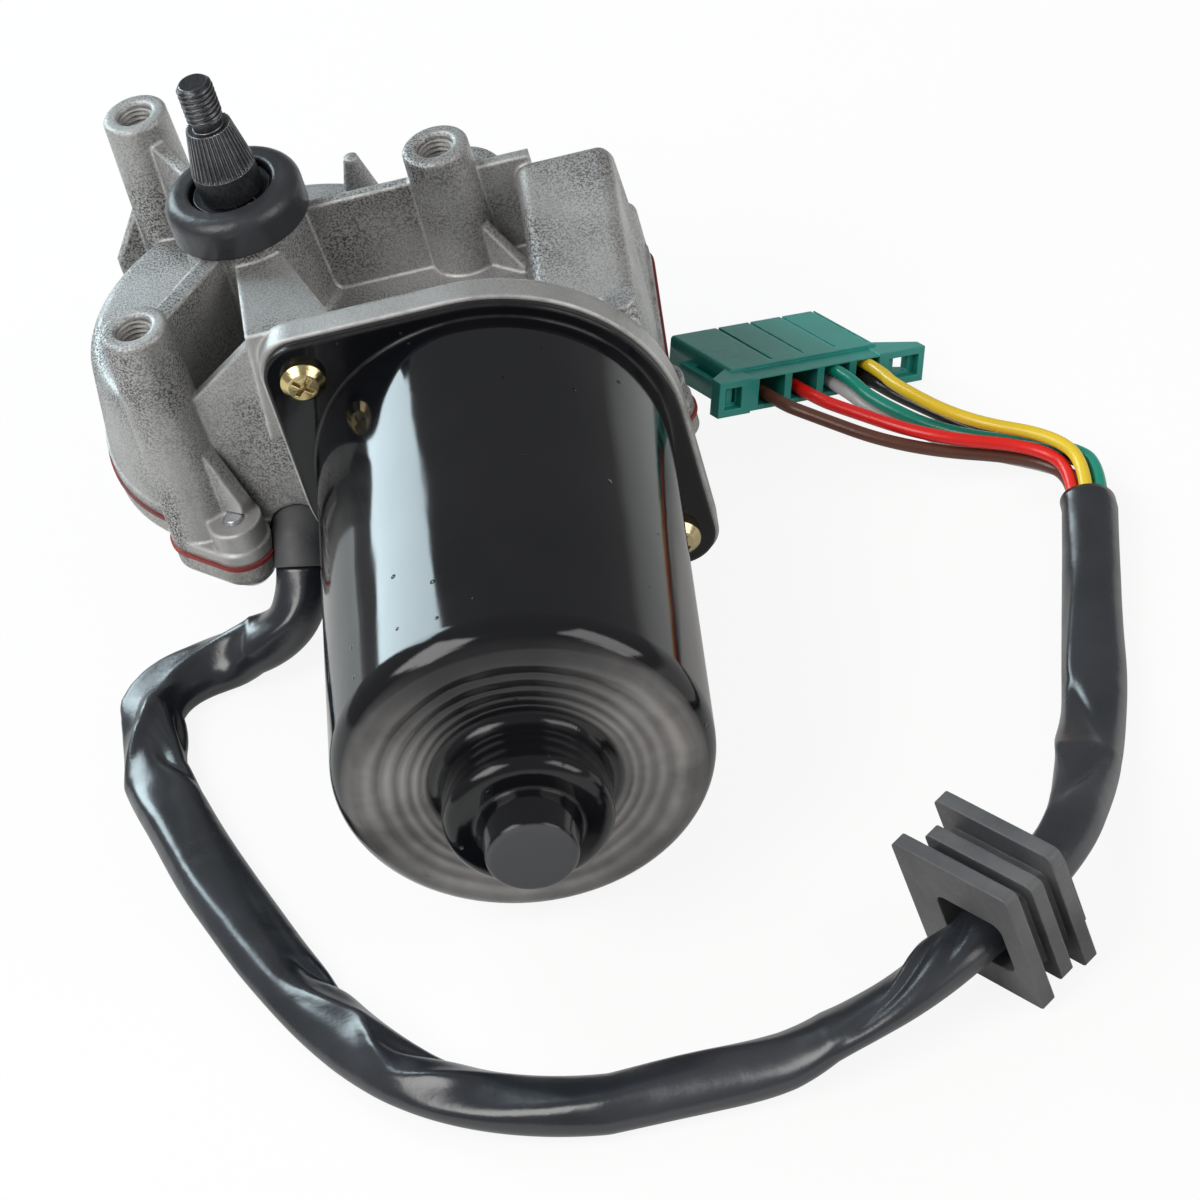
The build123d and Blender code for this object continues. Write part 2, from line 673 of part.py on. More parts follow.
def contact_springs():
    """Three leaf contacts, feet on the plate and rounded tips just under the park disc."""
    foot_z = cover_top_z + contact_plate_t + 0.2
    tip_z = wheel_bottom_z - park_t - side_gap - 0.2
    path = Polyline((12, foot_z), (4, foot_z), (-9, tip_z), (-12, tip_z - 1.5))
    strip = extrude(Plane.XZ * trace(path, 0.4), 3.0)
    return [Pos(0, -y, 0) * strip for y in contact_tracks]


# ---- motor --------------------------------------------------------------------------------
def motor_can():
    """Deep-drawn steel can with its flange, end boss and closed nose."""
    r = can_d / 2
    shell = turned([(0, can_face_y), (r, can_face_y), (r, can_end_y), (boss_d / 2, can_end_y),
                    (boss_d / 2, boss_end_y), (nose_d / 2 + 1.6, boss_end_y), (nose_d / 2, nose_end_y),
                    (0, nose_end_y)], Axis.Y)
    shell = round_ring(shell, r, can_end_y, can_end_r)
    shell = round_ring(shell, boss_d / 2, can_end_y, 2.2)
    shell = round_ring(shell, boss_d / 2, boss_end_y, 2.6)
    shell = round_ring(shell, nose_d / 2, nose_end_y, 1.2)
    bearing_r = rear_bearing_d / 2 + fit_gap
    nose_r = nose_d / 2
    hollow = turned([(0, can_face_y + 1), (r - can_wall, can_face_y + 1),
                     (r - can_wall, can_end_y + can_wall),
                     (bearing_r, can_end_y + can_wall), (bearing_r, boss_end_y + can_wall),
                     (nose_r - can_wall, boss_end_y + can_wall), (nose_r - can_wall, nose_end_y + can_wall),
                     (0, nose_end_y + can_wall)], Axis.Y)
    hollow = round_ring(hollow, r - can_wall, can_end_y + can_wall, can_end_r - can_wall)
    can = on_motor_axis(shell)
    plate = upright_plate(flange_outline(can_flange_r), flange_front_y, can_flange_t)
    can = can + plate - on_motor_axis(hollow) - axial(r - can_wall, can_face_y - 1, flange_front_y + 1)
    for x, z in ear_places:
        hole = Pos(x, flange_front_y + 1, z) * Rot(90, 0, 0) * extrude(Circle(can_screw_d / 2 + 0.3), 6)
        can -= hole
    return can


def round_ring(shape, radius, y, fillet_r):
    """Round the circular edge of this radius at this height of a shape turned about Y."""
    rings = shape.edges().filter_by(GeomType.CIRCLE)
    edge = rings.filter_by(lambda e: abs(e.radius - radius) < 0.01 and abs(e.center().Y - y) < 0.01)
    return fillet(edge, fillet_r)


def pan_screw(thread_d, length, head_d, head_h):
    """Pan head screw along Z with the head above the origin and a cross recess."""
    screw = turned([(0, -length), (thread_d / 2 - 0.5, -length), (thread_d / 2 - fit_gap, -length + 0.7),
                    (thread_d / 2 - fit_gap, 0), (head_d / 2, 0), (head_d / 2, head_h * 0.45),
                    (head_d * 0.34, head_h * 0.92), (0, head_h)])
    for turn in (0, 90):
        slot = block(-head_d * 0.27, head_d * 0.27, -0.5, 0.5, head_h - 1.7, head_h + 1)
        screw -= Rot(0, 0, turn + 45) * slot
    return screw


def can_screws():
    screw = Rot(90, 0, 0) * pan_screw(can_screw_d, can_screw_length, 9.6, 3.4)
    return [Pos(x, can_face_y, z) * screw for x, z in ear_places]


def can_seal():
    inner_r, outer_r = seal_ring_r - seal_wire, seal_ring_r + seal_wire
    ring = [(inner_r, seal_y - seal_wire), (outer_r, seal_y - seal_wire), (outer_r, seal_y + seal_wire),
            (inner_r, seal_y + seal_wire)]
    return on_motor_axis(turned(ring, Axis.Y))


def field_magnets():
    """Two curved ferrite magnets held against the can."""
    inner_r = core_d / 2 + air_gap
    outer_r = can_d / 2 - can_wall - magnet_gap
    arc = Circle(outer_r) - Circle(inner_r)
    sector = Polyline((0, 0), place_on_circle(2 * outer_r, 90 - magnet_angle / 2), (0, 2.5 * outer_r),
                      place_on_circle(2 * outer_r, 90 + magnet_angle / 2), close=True)
    magnet = extrude(arc & make_face(sector), magnet_length)
    middle = core_end_y - core_length / 2 + magnet_length / 2
    along = on_motor_axis(Pos(0, middle, 0) * Rot(90, 0, 0) * magnet)
    other = on_motor_axis(Pos(0, middle, 0) * Rot(0, 180, 0) * Rot(90, 0, 0) * magnet)
    return [along, other]


def ball_bearing(bore, outer_d, width):
    """Shielded bearing along Z from the origin, shields set back in both faces."""
    mid = (bore + outer_d) / 4
    ring = disc(outer_d / 2, 0, width) - disc(bore / 2, -1, width + 1)
    ring = chamfer(ring.edges().filter_by(GeomType.CIRCLE), 0.3)
    track = disc(mid + outer_d * 0.14, -1, 0.5) - disc(mid - outer_d * 0.09, -2, 1)
    return ring - track - Pos(0, 0, width + 0.5) * track


def front_bearing():
    bearing = ball_bearing(armature_shaft_d + 2 * running_gap, front_bearing_d, front_bearing_w)
    return on_motor_axis(Pos(0, bearing_seat_y, 0) * Rot(90, 0, 0) * bearing)


def rear_bearing():
    bearing = ball_bearing(rear_shaft_d + 2 * running_gap, rear_bearing_d, rear_bearing_w)
    return on_motor_axis(Pos(0, boss_end_y + can_wall + rear_bearing_w, 0) * Rot(90, 0, 0) * bearing)


def bearing_retainer():
    """Spring ring that holds the front bearing in its seat."""
    ring = Circle(front_bearing_d / 2 - 3 * fit_gap) - Circle(front_bearing_d / 2 - 2.4)
    ring -= Pos(0, -front_bearing_d / 2) * Rectangle(5, 8)
    y = bearing_seat_y - front_bearing_w
    return on_motor_axis(Pos(0, y, 0) * Rot(90, 0, 0) * extrude(ring, 1.2))


def tail_bush():
    sleeve = bush(tail_shaft_d / 2 + running_gap, tail_bush_d / 2, 0, tail_bush_length)
    return on_motor_axis(Pos(0, tail_bush_y, 0) * Rot(-90, 0, 0) * sleeve)


def thrust_ball():
    ball = Solid.make_sphere(thrust_ball_d / 2, angle1=-90, angle2=90)
    return on_motor_axis(Pos(0, shaft_tail_y + fit_gap + thrust_ball_d / 2, 0) * ball)


def end_play_screw():
    start_y = shaft_tail_y + 2 * fit_gap + thrust_ball_d
    screw = axial(play_screw_d / 2 - fit_gap, start_y, tail_wall_y + 7)
    slot = block(motor_x - 5, motor_x + 5, tail_wall_y + 5.4, tail_wall_y + 8, motor_z - 0.7, motor_z + 0.7)
    return screw - slot


def lock_nut():
    nut = extrude(RegularPolygon(6.5, 6, major_radius=False) - Circle(play_screw_d / 2), 4)
    return on_motor_axis(Pos(0, tail_wall_y, 0) * Rot(-90, 0, 0) * nut)


def armature_shaft():
    shaft = turned([(0, rear_shaft_y), (rear_shaft_d / 2 - 0.6, rear_shaft_y),
                    (rear_shaft_d / 2, rear_shaft_y + 0.6), (rear_shaft_d / 2, rear_step_y),
                    (armature_shaft_d / 2, rear_step_y), (armature_shaft_d / 2, tail_shaft_y),
                    (tail_shaft_d / 2, tail_shaft_y), (tail_shaft_d / 2, shaft_tail_y - 0.5),
                    (tail_shaft_d / 2 - 0.5, shaft_tail_y), (0, shaft_tail_y)], Axis.Y)
    return on_motor_axis(shaft)


def core_section():
    """Lamination with pear-shaped winding slots open to the air gap."""
    section = Circle(core_d / 2) - Circle(rear_shaft_d / 2 + fit_gap)
    for i in range(core_slots):
        turn = Rot(0, 0, 360 * i / core_slots)
        section -= turn * Pos(slot_mid_r, 0) * Circle(slot_r)
        section -= turn * Pos(core_d / 2 - 1, 0) * Rectangle(6, 2.2)
    return section


def armature_core():
    core = extrude(core_section(), core_length)
    return on_motor_axis(Pos(0, core_end_y, 0) * Rot(90, 0, 0) * core)


def armature_windings():
    """Copper in the slots, joined by the two end bundles."""
    inner_r = rear_shaft_d / 2 + 3
    shoulder = winding_length - 3
    bundle = turned([(inner_r, 0), (winding_r, 0), (winding_r, shoulder), (winding_r - 3, winding_length),
                     (inner_r + 3, winding_length), (inner_r, shoulder)])
    coils = Pos(0, 0, core_length) * bundle + mirror(bundle, Plane.XY)
    for i in range(core_slots):
        x, y = place_on_circle(slot_mid_r, 360 * i / core_slots)
        coils += disc(slot_r - 0.15, -1, core_length + 1, x, y)
    return on_motor_axis(Pos(0, core_end_y, 0) * Rot(90, 0, 0) * coils)


def commutator():
    r = commutator_d / 2
    drum = disc(r, 0, commutator_length) + disc(r + 1.6, commutator_length - 2.5, commutator_length)
    drum -= disc(rear_shaft_d / 2 + fit_gap, -1, commutator_length + 1)
    for i in range(commutator_bars):
        slit = block(r - 0.9, r + 3, -0.3, 0.3, -1, commutator_length + 1)
        drum -= Rot(0, 0, 360 * i / commutator_bars) * slit
    return on_motor_axis(Pos(0, commutator_y, 0) * Rot(90, 0, 0) * drum)


def brush_plate():
    """Insulating plate against the housing spigot that carries both brush holders."""
    plate = Circle(can_d / 2 - can_wall - loose_gap) - Circle(rear_shaft_d / 2 + 3)
    for angle in (45, 135, 225, 315):
        x, y = place_on_circle(24, angle)
        plate -= Pos(x, y) * Circle(4)
    return on_motor_axis(Pos(0, brush_plate_y, 0) * Rot(90, 0, 0) * extrude(plate, brush_plate_t))


def both_sides(shape):
    """Copy a brush gear piece modelled along +X to both sides of the commutator."""
    return [on_motor_axis(shape), on_motor_axis(Rot(0, 180, 0) * shape)]


def brush_holders():
    """Folded brass boxes, open towards the commutator."""
    wall = 0.8
    half_w = brush_w / 2 + 0.1
    depth = brush_h + 0.2 + 2 * wall
    start_r = commutator_d / 2 + 1.6
    end_r = brush_end_r + 4.6
    y = brush_plate_y - brush_plate_t
    box = block(start_r, end_r, y - depth, y, -half_w - wall, half_w + wall)
    return both_sides(box - block(start_r - 1, end_r - wall, y - depth + wall, y - wall, -half_w, half_w))


def carbon_brushes():
    y = brush_plate_y - brush_plate_t - 0.9
    brush = block(commutator_d / 2 - 1, brush_end_r, y - brush_h, y, -brush_w / 2, brush_w / 2)
    face = Pos(0, y - brush_h - 1, 0) * Rot(-90, 0, 0) * extrude(
        Circle(commutator_d / 2 + 0.08), brush_h + 2)
    return both_sides(brush - face)


def brush_springs():
    """Folded leaf springs that push the brushes onto the commutator."""
    y = brush_plate_y - brush_plate_t - 0.9 - brush_h / 2
    low = brush_end_r + 0.2
    high = brush_end_r + 3.6
    path = Polyline((low, 2.4), (low, -2.2), (high - 1.4, 2.0), (high, -2.2), (high, 2.4))
    strip = extrude(Plane.XZ * trace(path, 0.3), 4.0)
    return both_sides(Pos(0, y + 2, 0) * strip)


# ---- cover and gasket ---------------------------------------------------------------------
def behind_flange(outline):
    """Keep an outline clear of the can flange."""
    keep = Pos(0, flange_back_y + fit_gap + 100) * Rectangle(400, 200)
    lugs = Pos(-100, -60) * Rectangle(200, 120)
    return outline & (keep + lugs)


def cover_gasket():
    outline = behind_flange(base_outline(gasket_lip))
    inner = Circle(chamber_r - 0.8)
    inner += Pos((motor_x + bay_right_x) / 2, (flange_back_y + bay_back_y) / 2) * Rectangle(
        bay_right_x - motor_x - 2 * bay_wall, bay_back_y - flange_back_y - 2 * bay_wall)
    outline -= inner
    for place in cover_screw_places:
        outline -= Pos(*place) * Circle(cover_screw_d / 2 + 0.2)
    sheet = extrude(Pos(0, 0, cover_top_z) * outline, gasket_t)
    return sheet - cable_seat()


def gear_cover():
    """Pressed and ribbed cover plate with a thrust button and the lower half of the cable seat."""
    outline = behind_flange(base_outline())
    cover = extrude(Pos(0, 0, cover_bottom_z) * outline, cover_t)
    hollow_outline = Circle(drum_base_r - 3.5)
    hollow_outline += Pos((40 + bay_right_x - 3) / 2, (flange_back_y + bay_back_y) / 2) * RectangleRounded(
        bay_right_x - 43, bay_back_y - flange_back_y - 6, 4)
    hollow = extrude(Pos(0, 0, cover_bottom_z - 1) * hollow_outline, cover_t - cover_skin + 1)
    for i in range(cover_ribs):
        arm = block(6, drum_base_r, -1.1, 1.1, cover_bottom_z - 2, cover_top_z)
        hollow -= Rot(0, 0, 360 * (i + 0.5) / cover_ribs) * arm
    hollow -= disc(11, cover_bottom_z - 2, cover_top_z) - disc(7, cover_bottom_z - 3, cover_top_z + 1)
    hollow -= disc(27, cover_bottom_z - 2, cover_top_z) - disc(25, cover_bottom_z - 3, cover_top_z + 1)
    for x in (56, 69):
        hollow -= block(x - 1, x + 1, flange_back_y, bay_back_y, cover_bottom_z - 2, cover_top_z)
    cover -= hollow
    for place in cover_screw_places:
        cover += disc(lug_r - 0.4, cover_bottom_z, cover_top_z, *place)
        cover -= disc(cover_screw_d / 2 + 0.2, cover_bottom_z - 1, cover_top_z + 1, *place)
    saddle = extrude(Circle(grommet_neck_r + 1.8), 8)
    saddle = Pos(cable_x, cable_wall_y + 8, cable_z) * Rot(90, 0, 0) * saddle
    cover += saddle & block(-40, 40, -80, 0, cover_bottom_z - 20, cover_top_z)
    cover += disc(6, cover_top_z, shaft_end_z - side_gap)
    return cover - cable_seat()


def cover_screws():
    screw = Rot(180, 0, 0) * pan_screw(cover_screw_d, cover_t + gasket_t + lug_height + 0.8,
                                       screw_head_d, screw_head_h)
    return [Pos(*place, cover_bottom_z) * screw for place in cover_screw_places]




# ---- harness ------------------------------------------------------------------------------
def cord(points, diameter):
    """Round cord along straight runs joined by tangent arcs."""
    radii = []
    for before, here, after in zip(points, points[1:], points[2:]):
        first = Vector(*here) - Vector(*before)
        second = Vector(*after) - Vector(*here)
        half_turn = radians(first.get_angle(second)) / 2
        radii.append(bend_share * min(first.length, second.length) / tan(half_turn))
    path = FilletPolyline(*points, radius=radii)
    print("bend radii", [round(r, 1) for r in radii], "length", round(path.length, 1))
    start = Plane(origin=path @ 0, z_dir=path % 0)
    return sweep(start * Circle(diameter / 2), path)


sleeve_z = floor_z + sleeve_d / 2 + 0.05
sleeve_route = (
    snout_tip, (-5.36, -57.58, -69.22), (-13.4, -59.6, -76.2), (-27.0, -56.0, sleeve_z),
    (-41.0, -62.0, sleeve_z), (-45.2, -76.5, sleeve_z), (-41.7, -91.0, sleeve_z),
    (-36.4, -105.5, sleeve_z), (-27.3, -128.5, sleeve_z), (-16.2, -152.5, sleeve_z),
    (-3.5, -175.0, sleeve_z), (13.0, -193.5, sleeve_z), (38.0, -205.5, sleeve_z),
    (66.0, -208.0, sleeve_z), (91.0, -205.2, -78.2), (114.5, -200.5, -72.1),
    (143.1, -177.1, -69.9), (150.3, -154.5, -76.8), (155.8, -128.0, sleeve_z),
    (159.8, -99.5, sleeve_z), (164.8, -69.52, sleeve_z))
wire_routes = {
    "brown": ((161.98, -69.03, -81.8), (163.13, -62.13, -81.8), (157.67, -52.03, -80.98),
        (128.75, -47.79, -73.02), (108.23, -35.93, -65.64),
        (105.32, -33.15, -65.35), (100.66, -25.51, -66.27)),
    "red": ((161.98, -69.03, -78.5), (163.13, -62.13, -78.5), (157.67, -52.03, -77.55),
        (134.7, -48.15, -71.16), (116.56, -33.5, -69.08),
        (112.37, -29.28, -68.92), (107.71, -21.63, -69.84)),
    "green": ((167.62, -69.97, -78.5), (168.77, -63.07, -78.5), (165, -53.25, -78.33),
        (139.03, -40.29, -78.65), (123.81, -30.83, -71.27),
        (120.41, -24.44, -69.5), (115.75, -16.8, -70.41)),
    "yellow": ((164.8, -69.5, -76.85), (165.95, -62.6, -76.85), (161.33, -52.64, -74.89),
        (142.76, -44.2, -72.12), (129.39, -27.03, -72),
        (127.46, -20.57, -73.07), (122.8, -12.93, -73.99)),
    "white": ((164.8, -69.5, -83.45), (165.95, -62.6, -83.45), (161.33, -52.64, -84.43),
        (141.22, -40.93, -82.72), (123.09, -30.54, -74.8),
        (119.42, -25.41, -72.5), (114.76, -17.76, -73.41)),
    "black": ((167.62, -69.97, -81.8), (168.77, -63.07, -81.8), (165, -53.25, -81.7),
        (147.4, -40.83, -81.27), (130.04, -25.9, -76.61),
        (126.47, -21.53, -76.07), (121.81, -13.89, -76.98))}


def harness_sleeve():
    return cord(sleeve_route, sleeve_d)


def cable_grommet():
    """Rubber bush in the cable seat: its snout turns down to meet the end of the sleeve."""
    path = snout_path(-fit_gap)
    return sweep(Plane(origin=path @ 0, z_dir=path % 0) * Circle(grommet_neck_r - grommet_gap), path)


def panel_layer(x, thickness, shrink, shift=0.0):
    size = Rectangle(panel_grommet_w - shrink, panel_grommet_h - 2 * shrink)
    return extrude(Plane.YZ.offset(x) * Pos(shift, 0) * fillet(size.vertices(), 1.6), thickness)


def panel_grommet():
    """Rectangular rubber grommet: three lips with two panel grooves between, and a short collar."""
    depth = 3 * panel_lip_t + 2 * panel_groove_t
    body = panel_layer(-depth / 2, depth + 2.4, 6.0)
    for i, shrink in enumerate((0.0, 2.4, 0.0)):
        start = -depth / 2 + i * (panel_lip_t + panel_groove_t)
        body += panel_layer(start, panel_lip_t, shrink, -shrink / 2)
    hole = fillet(Rectangle(*panel_opening).vertices(), 2.5)
    passage = extrude(Plane.YZ * Pos(*panel_opening_shift) * hole, depth, both=True)
    return panel_grommet_place * (body - passage)


def plug_columns_x():
    return [plug_first_x + plug_pitch * i for i in range(plug_columns)]


def connector_housing():
    """Green multi-way connector: open terminal cavities, grooved top and a latch wing at each end."""
    body = block(0, plug_w, 0, plug_length, -plug_h, 0)
    body = fillet(body.edges().filter_by(Axis.Y), 0.8)
    body -= block(-1, plug_w + 1, -1, 5.0, -0.7, 1)
    for x in plug_columns_x():
        body -= block(x - plug_cavity_w / 2, x + plug_cavity_w / 2, -1, plug_length + 1,
                      -plug_h + plug_wall, -plug_wall)
        body += block(x - plug_pitch / 2, x + plug_pitch / 2, plug_divider_start, plug_length - 1,
                      sum(plug_rows) / 2 - 0.3, sum(plug_rows) / 2 + 0.3)
        body -= block(x + plug_pitch / 2 - 0.4, x + plug_pitch / 2 + 0.4, 7, plug_length + 1, -0.5, 1)
    left, right = plug_wing_span
    for tip, root, side in ((left, 0.0, -1), (right, plug_w, 1)):
        inner = root - side * 2.6
        wedge = Polyline((inner, 0), (tip, 0), (tip, 3), (root, plug_wing_length),
                         (inner, plug_wing_length), close=True)
        wing = Pos(0, 0, -plug_h - 0.4) * extrude(make_face(wedge), plug_h)
        mouth = sorted((inner + side * 1.4, tip - side * 1.6))
        wing -= block(*mouth, -1, 2.0, -plug_h + 1.2, -2.0)
        wing -= block(mouth[0] + 1.5, mouth[1] - 1.5, -1, plug_wing_length + 1, -plug_h + 1.8, -2.8)
        body += wing
        arm = sorted((root + side * 1.2, root + side * 2.8))
        body += block(*arm, 2, 20, -plug_h + 1, -3)
        body += block(min(arm[0], root), max(arm[1], root), 17, 20, -plug_h + 1, -3)
    return plug_frame.location * body


def connector_terminals():
    """Crimp terminals: a round barrel on the wire and a flat receptacle behind it."""
    terminals = []
    for column, row in wire_cavities.values():
        x = plug_first_x + plug_pitch * column
        z = plug_rows[row]
        barrel = Pos(x, barrel_start, z) * Rot(-90, 0, 0) * extrude(Circle(wire_d / 2 - 0.1), 5)
        box = block(x - 2.9, x + 2.9, 8.5, 24.0, z - 1.1, z + 1.1)
        box -= block(x - 2.4, x + 2.4, 12.0, 25.0, z - 0.6, z + 0.6)
        terminals.append(plug_frame.location * (barrel + box))
    return terminals


# ---- build --------------------------------------------------------------------------------
os.makedirs("parts", exist_ok=True)
makers = (gear_housing, gear_cover, cover_gasket, cover_screws, motor_can, can_screws, can_seal,
          field_magnets, front_bearing, bearing_retainer, rear_bearing, tail_bush, thrust_ball,
          end_play_screw, lock_nut, brush_plate, brush_holders, carbon_brushes, brush_springs,
          output_bush_upper, output_bush_lower, shaft_seal, shaft_cap, shaft_washer, retaining_ring,
          thrust_washer, output_shaft, worm_wheel, wheel_hub, park_disc, contact_plate,
          contact_springs, armature_shaft, worm, armature_core, armature_windings, commutator,
          cable_grommet, harness_sleeve, panel_grommet, connector_housing, connector_terminals)
for make in makers:
    shape = make()
    if isinstance(shape, list):
        shape = Compound(children=shape)
    export_step(shape, "parts/" + make.__name__ + ".step")
for colour, route in wire_routes.items():
    export_step(cord(route, wire_d), "parts/wire_" + colour + ".step")
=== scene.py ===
"""Looks of a windscreen wiper motor with worm gearbox, threaded output shaft and wired connector."""

from math import cos, pi, radians, sin

import bpy
from mathutils import Matrix, Vector, noise


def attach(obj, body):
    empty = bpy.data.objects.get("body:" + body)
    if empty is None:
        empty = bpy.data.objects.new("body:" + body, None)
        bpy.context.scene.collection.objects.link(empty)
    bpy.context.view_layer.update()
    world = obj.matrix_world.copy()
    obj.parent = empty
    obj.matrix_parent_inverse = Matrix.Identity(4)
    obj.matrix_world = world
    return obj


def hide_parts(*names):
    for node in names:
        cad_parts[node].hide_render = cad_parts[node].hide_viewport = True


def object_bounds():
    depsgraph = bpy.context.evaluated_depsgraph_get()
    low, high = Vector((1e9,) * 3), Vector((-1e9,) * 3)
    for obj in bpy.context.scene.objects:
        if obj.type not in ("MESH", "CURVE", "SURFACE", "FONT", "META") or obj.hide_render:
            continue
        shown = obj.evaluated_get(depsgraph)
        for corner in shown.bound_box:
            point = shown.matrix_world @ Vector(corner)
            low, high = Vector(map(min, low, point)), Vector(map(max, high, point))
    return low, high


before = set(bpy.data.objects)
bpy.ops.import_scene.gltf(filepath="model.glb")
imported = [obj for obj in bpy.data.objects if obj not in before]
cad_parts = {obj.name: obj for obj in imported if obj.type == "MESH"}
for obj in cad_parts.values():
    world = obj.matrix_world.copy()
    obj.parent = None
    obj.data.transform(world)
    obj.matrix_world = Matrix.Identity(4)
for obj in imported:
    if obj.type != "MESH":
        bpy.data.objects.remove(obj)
cad_low, cad_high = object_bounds()
mm = 0.001

# ---- camera ----
# A long lens well above the motor, looking along the can towards the gearbox.
camera = bpy.data.objects.new("camera", bpy.data.cameras.new("camera"))
bpy.context.scene.collection.objects.link(camera)
bpy.context.scene.camera = camera
camera_right = Vector((0.970604, -0.079665, -0.227116))
camera_up = Vector((0.221692, 0.663299, 0.714763))
camera_back = camera_right.cross(camera_up)
camera_place = Vector((141.2, -728.8, 509.4)) * mm
camera_turn = Matrix((camera_right, camera_up, camera_back)).transposed().to_4x4()
camera.matrix_world = Matrix.Translation(camera_place) @ camera_turn
camera.data.sensor_width = 36
camera.data.lens = 123.8
camera.data.clip_start = 0.05

# ---- gear housing and cover ----
# Die-cast aluminium, tumbled: fine dark speckle all over, edges rubbed bright with a painted highlight on
# them, corners slightly round.
# The cover is the same casting alloy and closes the wheel chamber from below.


def add_node(tree, kind, sockets=None, **properties):
    """A shader node with its properties set, its sockets set or linked by name."""
    made = tree.nodes.new(kind)
    for name, value in properties.items():
        setattr(made, name, value)
    for name, value in (sockets or {}).items():
        if isinstance(value, bpy.types.NodeSocket):
            tree.links.new(value, made.inputs[name])
        else:
            made.inputs[name].default_value = value
    return made


def new_group(name, inputs, outputs):
    """Node group with number inputs given as name: default, and named outputs."""
    group = bpy.data.node_groups.new(name, "ShaderNodeTree")
    for label, default in inputs.items():
        given = group.interface.new_socket(label, in_out="INPUT", socket_type="NodeSocketFloat")
        given.default_value = default
    for label, kind in outputs.items():
        group.interface.new_socket(label, in_out="OUTPUT", socket_type=kind)
    return group, group.nodes.new("NodeGroupInput").outputs, group.nodes.new("NodeGroupOutput").inputs


def worked_out(tree, operation, *values):
    """Result of a sum, product or other operation on one or two values."""
    return add_node(tree, "ShaderNodeMath", dict(enumerate(values)), operation=operation).outputs[0]


def scaled(tree, value, factor):
    return worked_out(tree, "MULTIPLY", value, factor)


def ranged(tree, value, low, high, to_low=0.0, to_high=1.0):
    """Value carried from one range to another and held inside it."""
    sockets = {"Value": value, "From Min": low, "From Max": high, "To Min": to_low, "To Max": to_high}
    return add_node(tree, "ShaderNodeMapRange", sockets, clamp=True).outputs[0]


def object_place(tree):
    return add_node(tree, "ShaderNodeTexCoord").outputs["Object"]


def clouds(tree, place, scale, detail=2.0, **more):
    """Soft noise round one half, in cells of 1 / scale metres."""
    sockets = {"Vector": place, "Scale": scale, "Detail": detail, **more}
    return add_node(tree, "ShaderNodeTexNoise", sockets).outputs[0]


def make_grain():
    """Speckle and soft blotches, in cells of a given size: a mask from 0 to 1 and a height."""
    group, given, out = new_group("grain", {"Scale": 1500.0, "Contrast": 0.5},
                                  {"Speckle": "NodeSocketFloat", "Blotch": "NodeSocketFloat",
                                   "Height": "NodeSocketFloat"})
    place = object_place(group)
    fine = clouds(group, place, given["Scale"], 3.0, Roughness=0.65)
    coarse = clouds(group, place, scaled(group, given["Scale"], 0.035), 4.0)
    spread = scaled(group, given["Contrast"], 0.25)
    low = worked_out(group, "SUBTRACT", 0.5, spread)
    high = worked_out(group, "ADD", 0.5, spread)
    group.links.new(ranged(group, fine, low, high), out["Speckle"])
    group.links.new(ranged(group, coarse, 0.35, 0.65), out["Blotch"])
    group.links.new(fine, out["Height"])
    return group


# Edge mask: real wear on most parts, a painted highlight on the cast metal and the blackened shaft.
def make_edge_wear_and_highlight():
    """Mask of convex and concave edges, broken up by noise, and the normal with edges rounded."""
    group, given, out = new_group("edge wear and highlight", {"Radius": 0.0005, "Amount": 1.0},
                                  {"Edge": "NodeSocketFloat", "Normal": "NodeSocketVector"})
    soft = add_node(group, "ShaderNodeBevel", {"Radius": given["Radius"]}, samples=6).outputs[0]
    flat = add_node(group, "ShaderNodeNewGeometry").outputs["Normal"]
    level = add_node(group, "ShaderNodeVectorMath", {0: soft, 1: flat}, operation="DOT_PRODUCT")
    edge_breakup = clouds(group, object_place(group), 260.0, 3.0)
    mask = ranged(group, level.outputs["Value"], 0.995, 0.86)
    mask = worked_out(group, "MULTIPLY", mask, ranged(group, edge_breakup, 0.3, 0.6, 0.25, 1.0))
    mask = worked_out(group, "MULTIPLY", mask, given["Amount"])
    group.links.new(mask, out["Edge"])
    group.links.new(soft, out["Normal"])
    return group


grain_group = make_grain()
edge_wear_and_highlight_group = make_edge_wear_and_highlight()


def use_group(tree, group, **inputs):
    """Outputs of a node group placed in a material with its own values."""
    made = tree.nodes.new("ShaderNodeGroup")
    made.node_tree = group
    for name, value in inputs.items():
        made.inputs[name].default_value = value
    return made.outputs


def mixed(tree, mask, first, second):
    """Colour that goes from first to second with the mask."""
    made = tree.nodes.new("ShaderNodeMix")
    made.data_type = "RGBA"
    for index, value in ((0, mask), (6, first), (7, second)):
        if isinstance(value, bpy.types.NodeSocket):
            tree.links.new(value, made.inputs[index])
        elif index == 0:
            made.inputs[index].default_value = value
        else:
            made.inputs[index].default_value = (*value, 1.0)
    return made.outputs[2]


def bumped(tree, height, distance, normal=None, strength=1.0):
    """Normal tilted by a height, over the normal given."""
    sockets = {"Height": height, "Distance": distance, "Strength": strength}
    if normal is not None:
        sockets["Normal"] = normal
    return add_node(tree, "ShaderNodeBump", sockets).outputs[0]


def set_looks(tree, shader, colour, roughness, normal):
    """Link the finished colour, roughness and normal to the shader."""
    tree.links.new(colour, shader["Base Color"])
    tree.links.new(roughness, shader["Roughness"])
    tree.links.new(normal, shader["Normal"])


def new_material(name, **constants):
    """Material with one Principled shader, its constant sockets set by name."""
    material = bpy.data.materials.new(name)
    material.use_nodes = True
    tree = material.node_tree
    shader = tree.nodes["Principled BSDF"]
    for label, value in constants.items():
        shader.inputs[label.replace("_", " ")].default_value = value
    return material, tree, shader.inputs


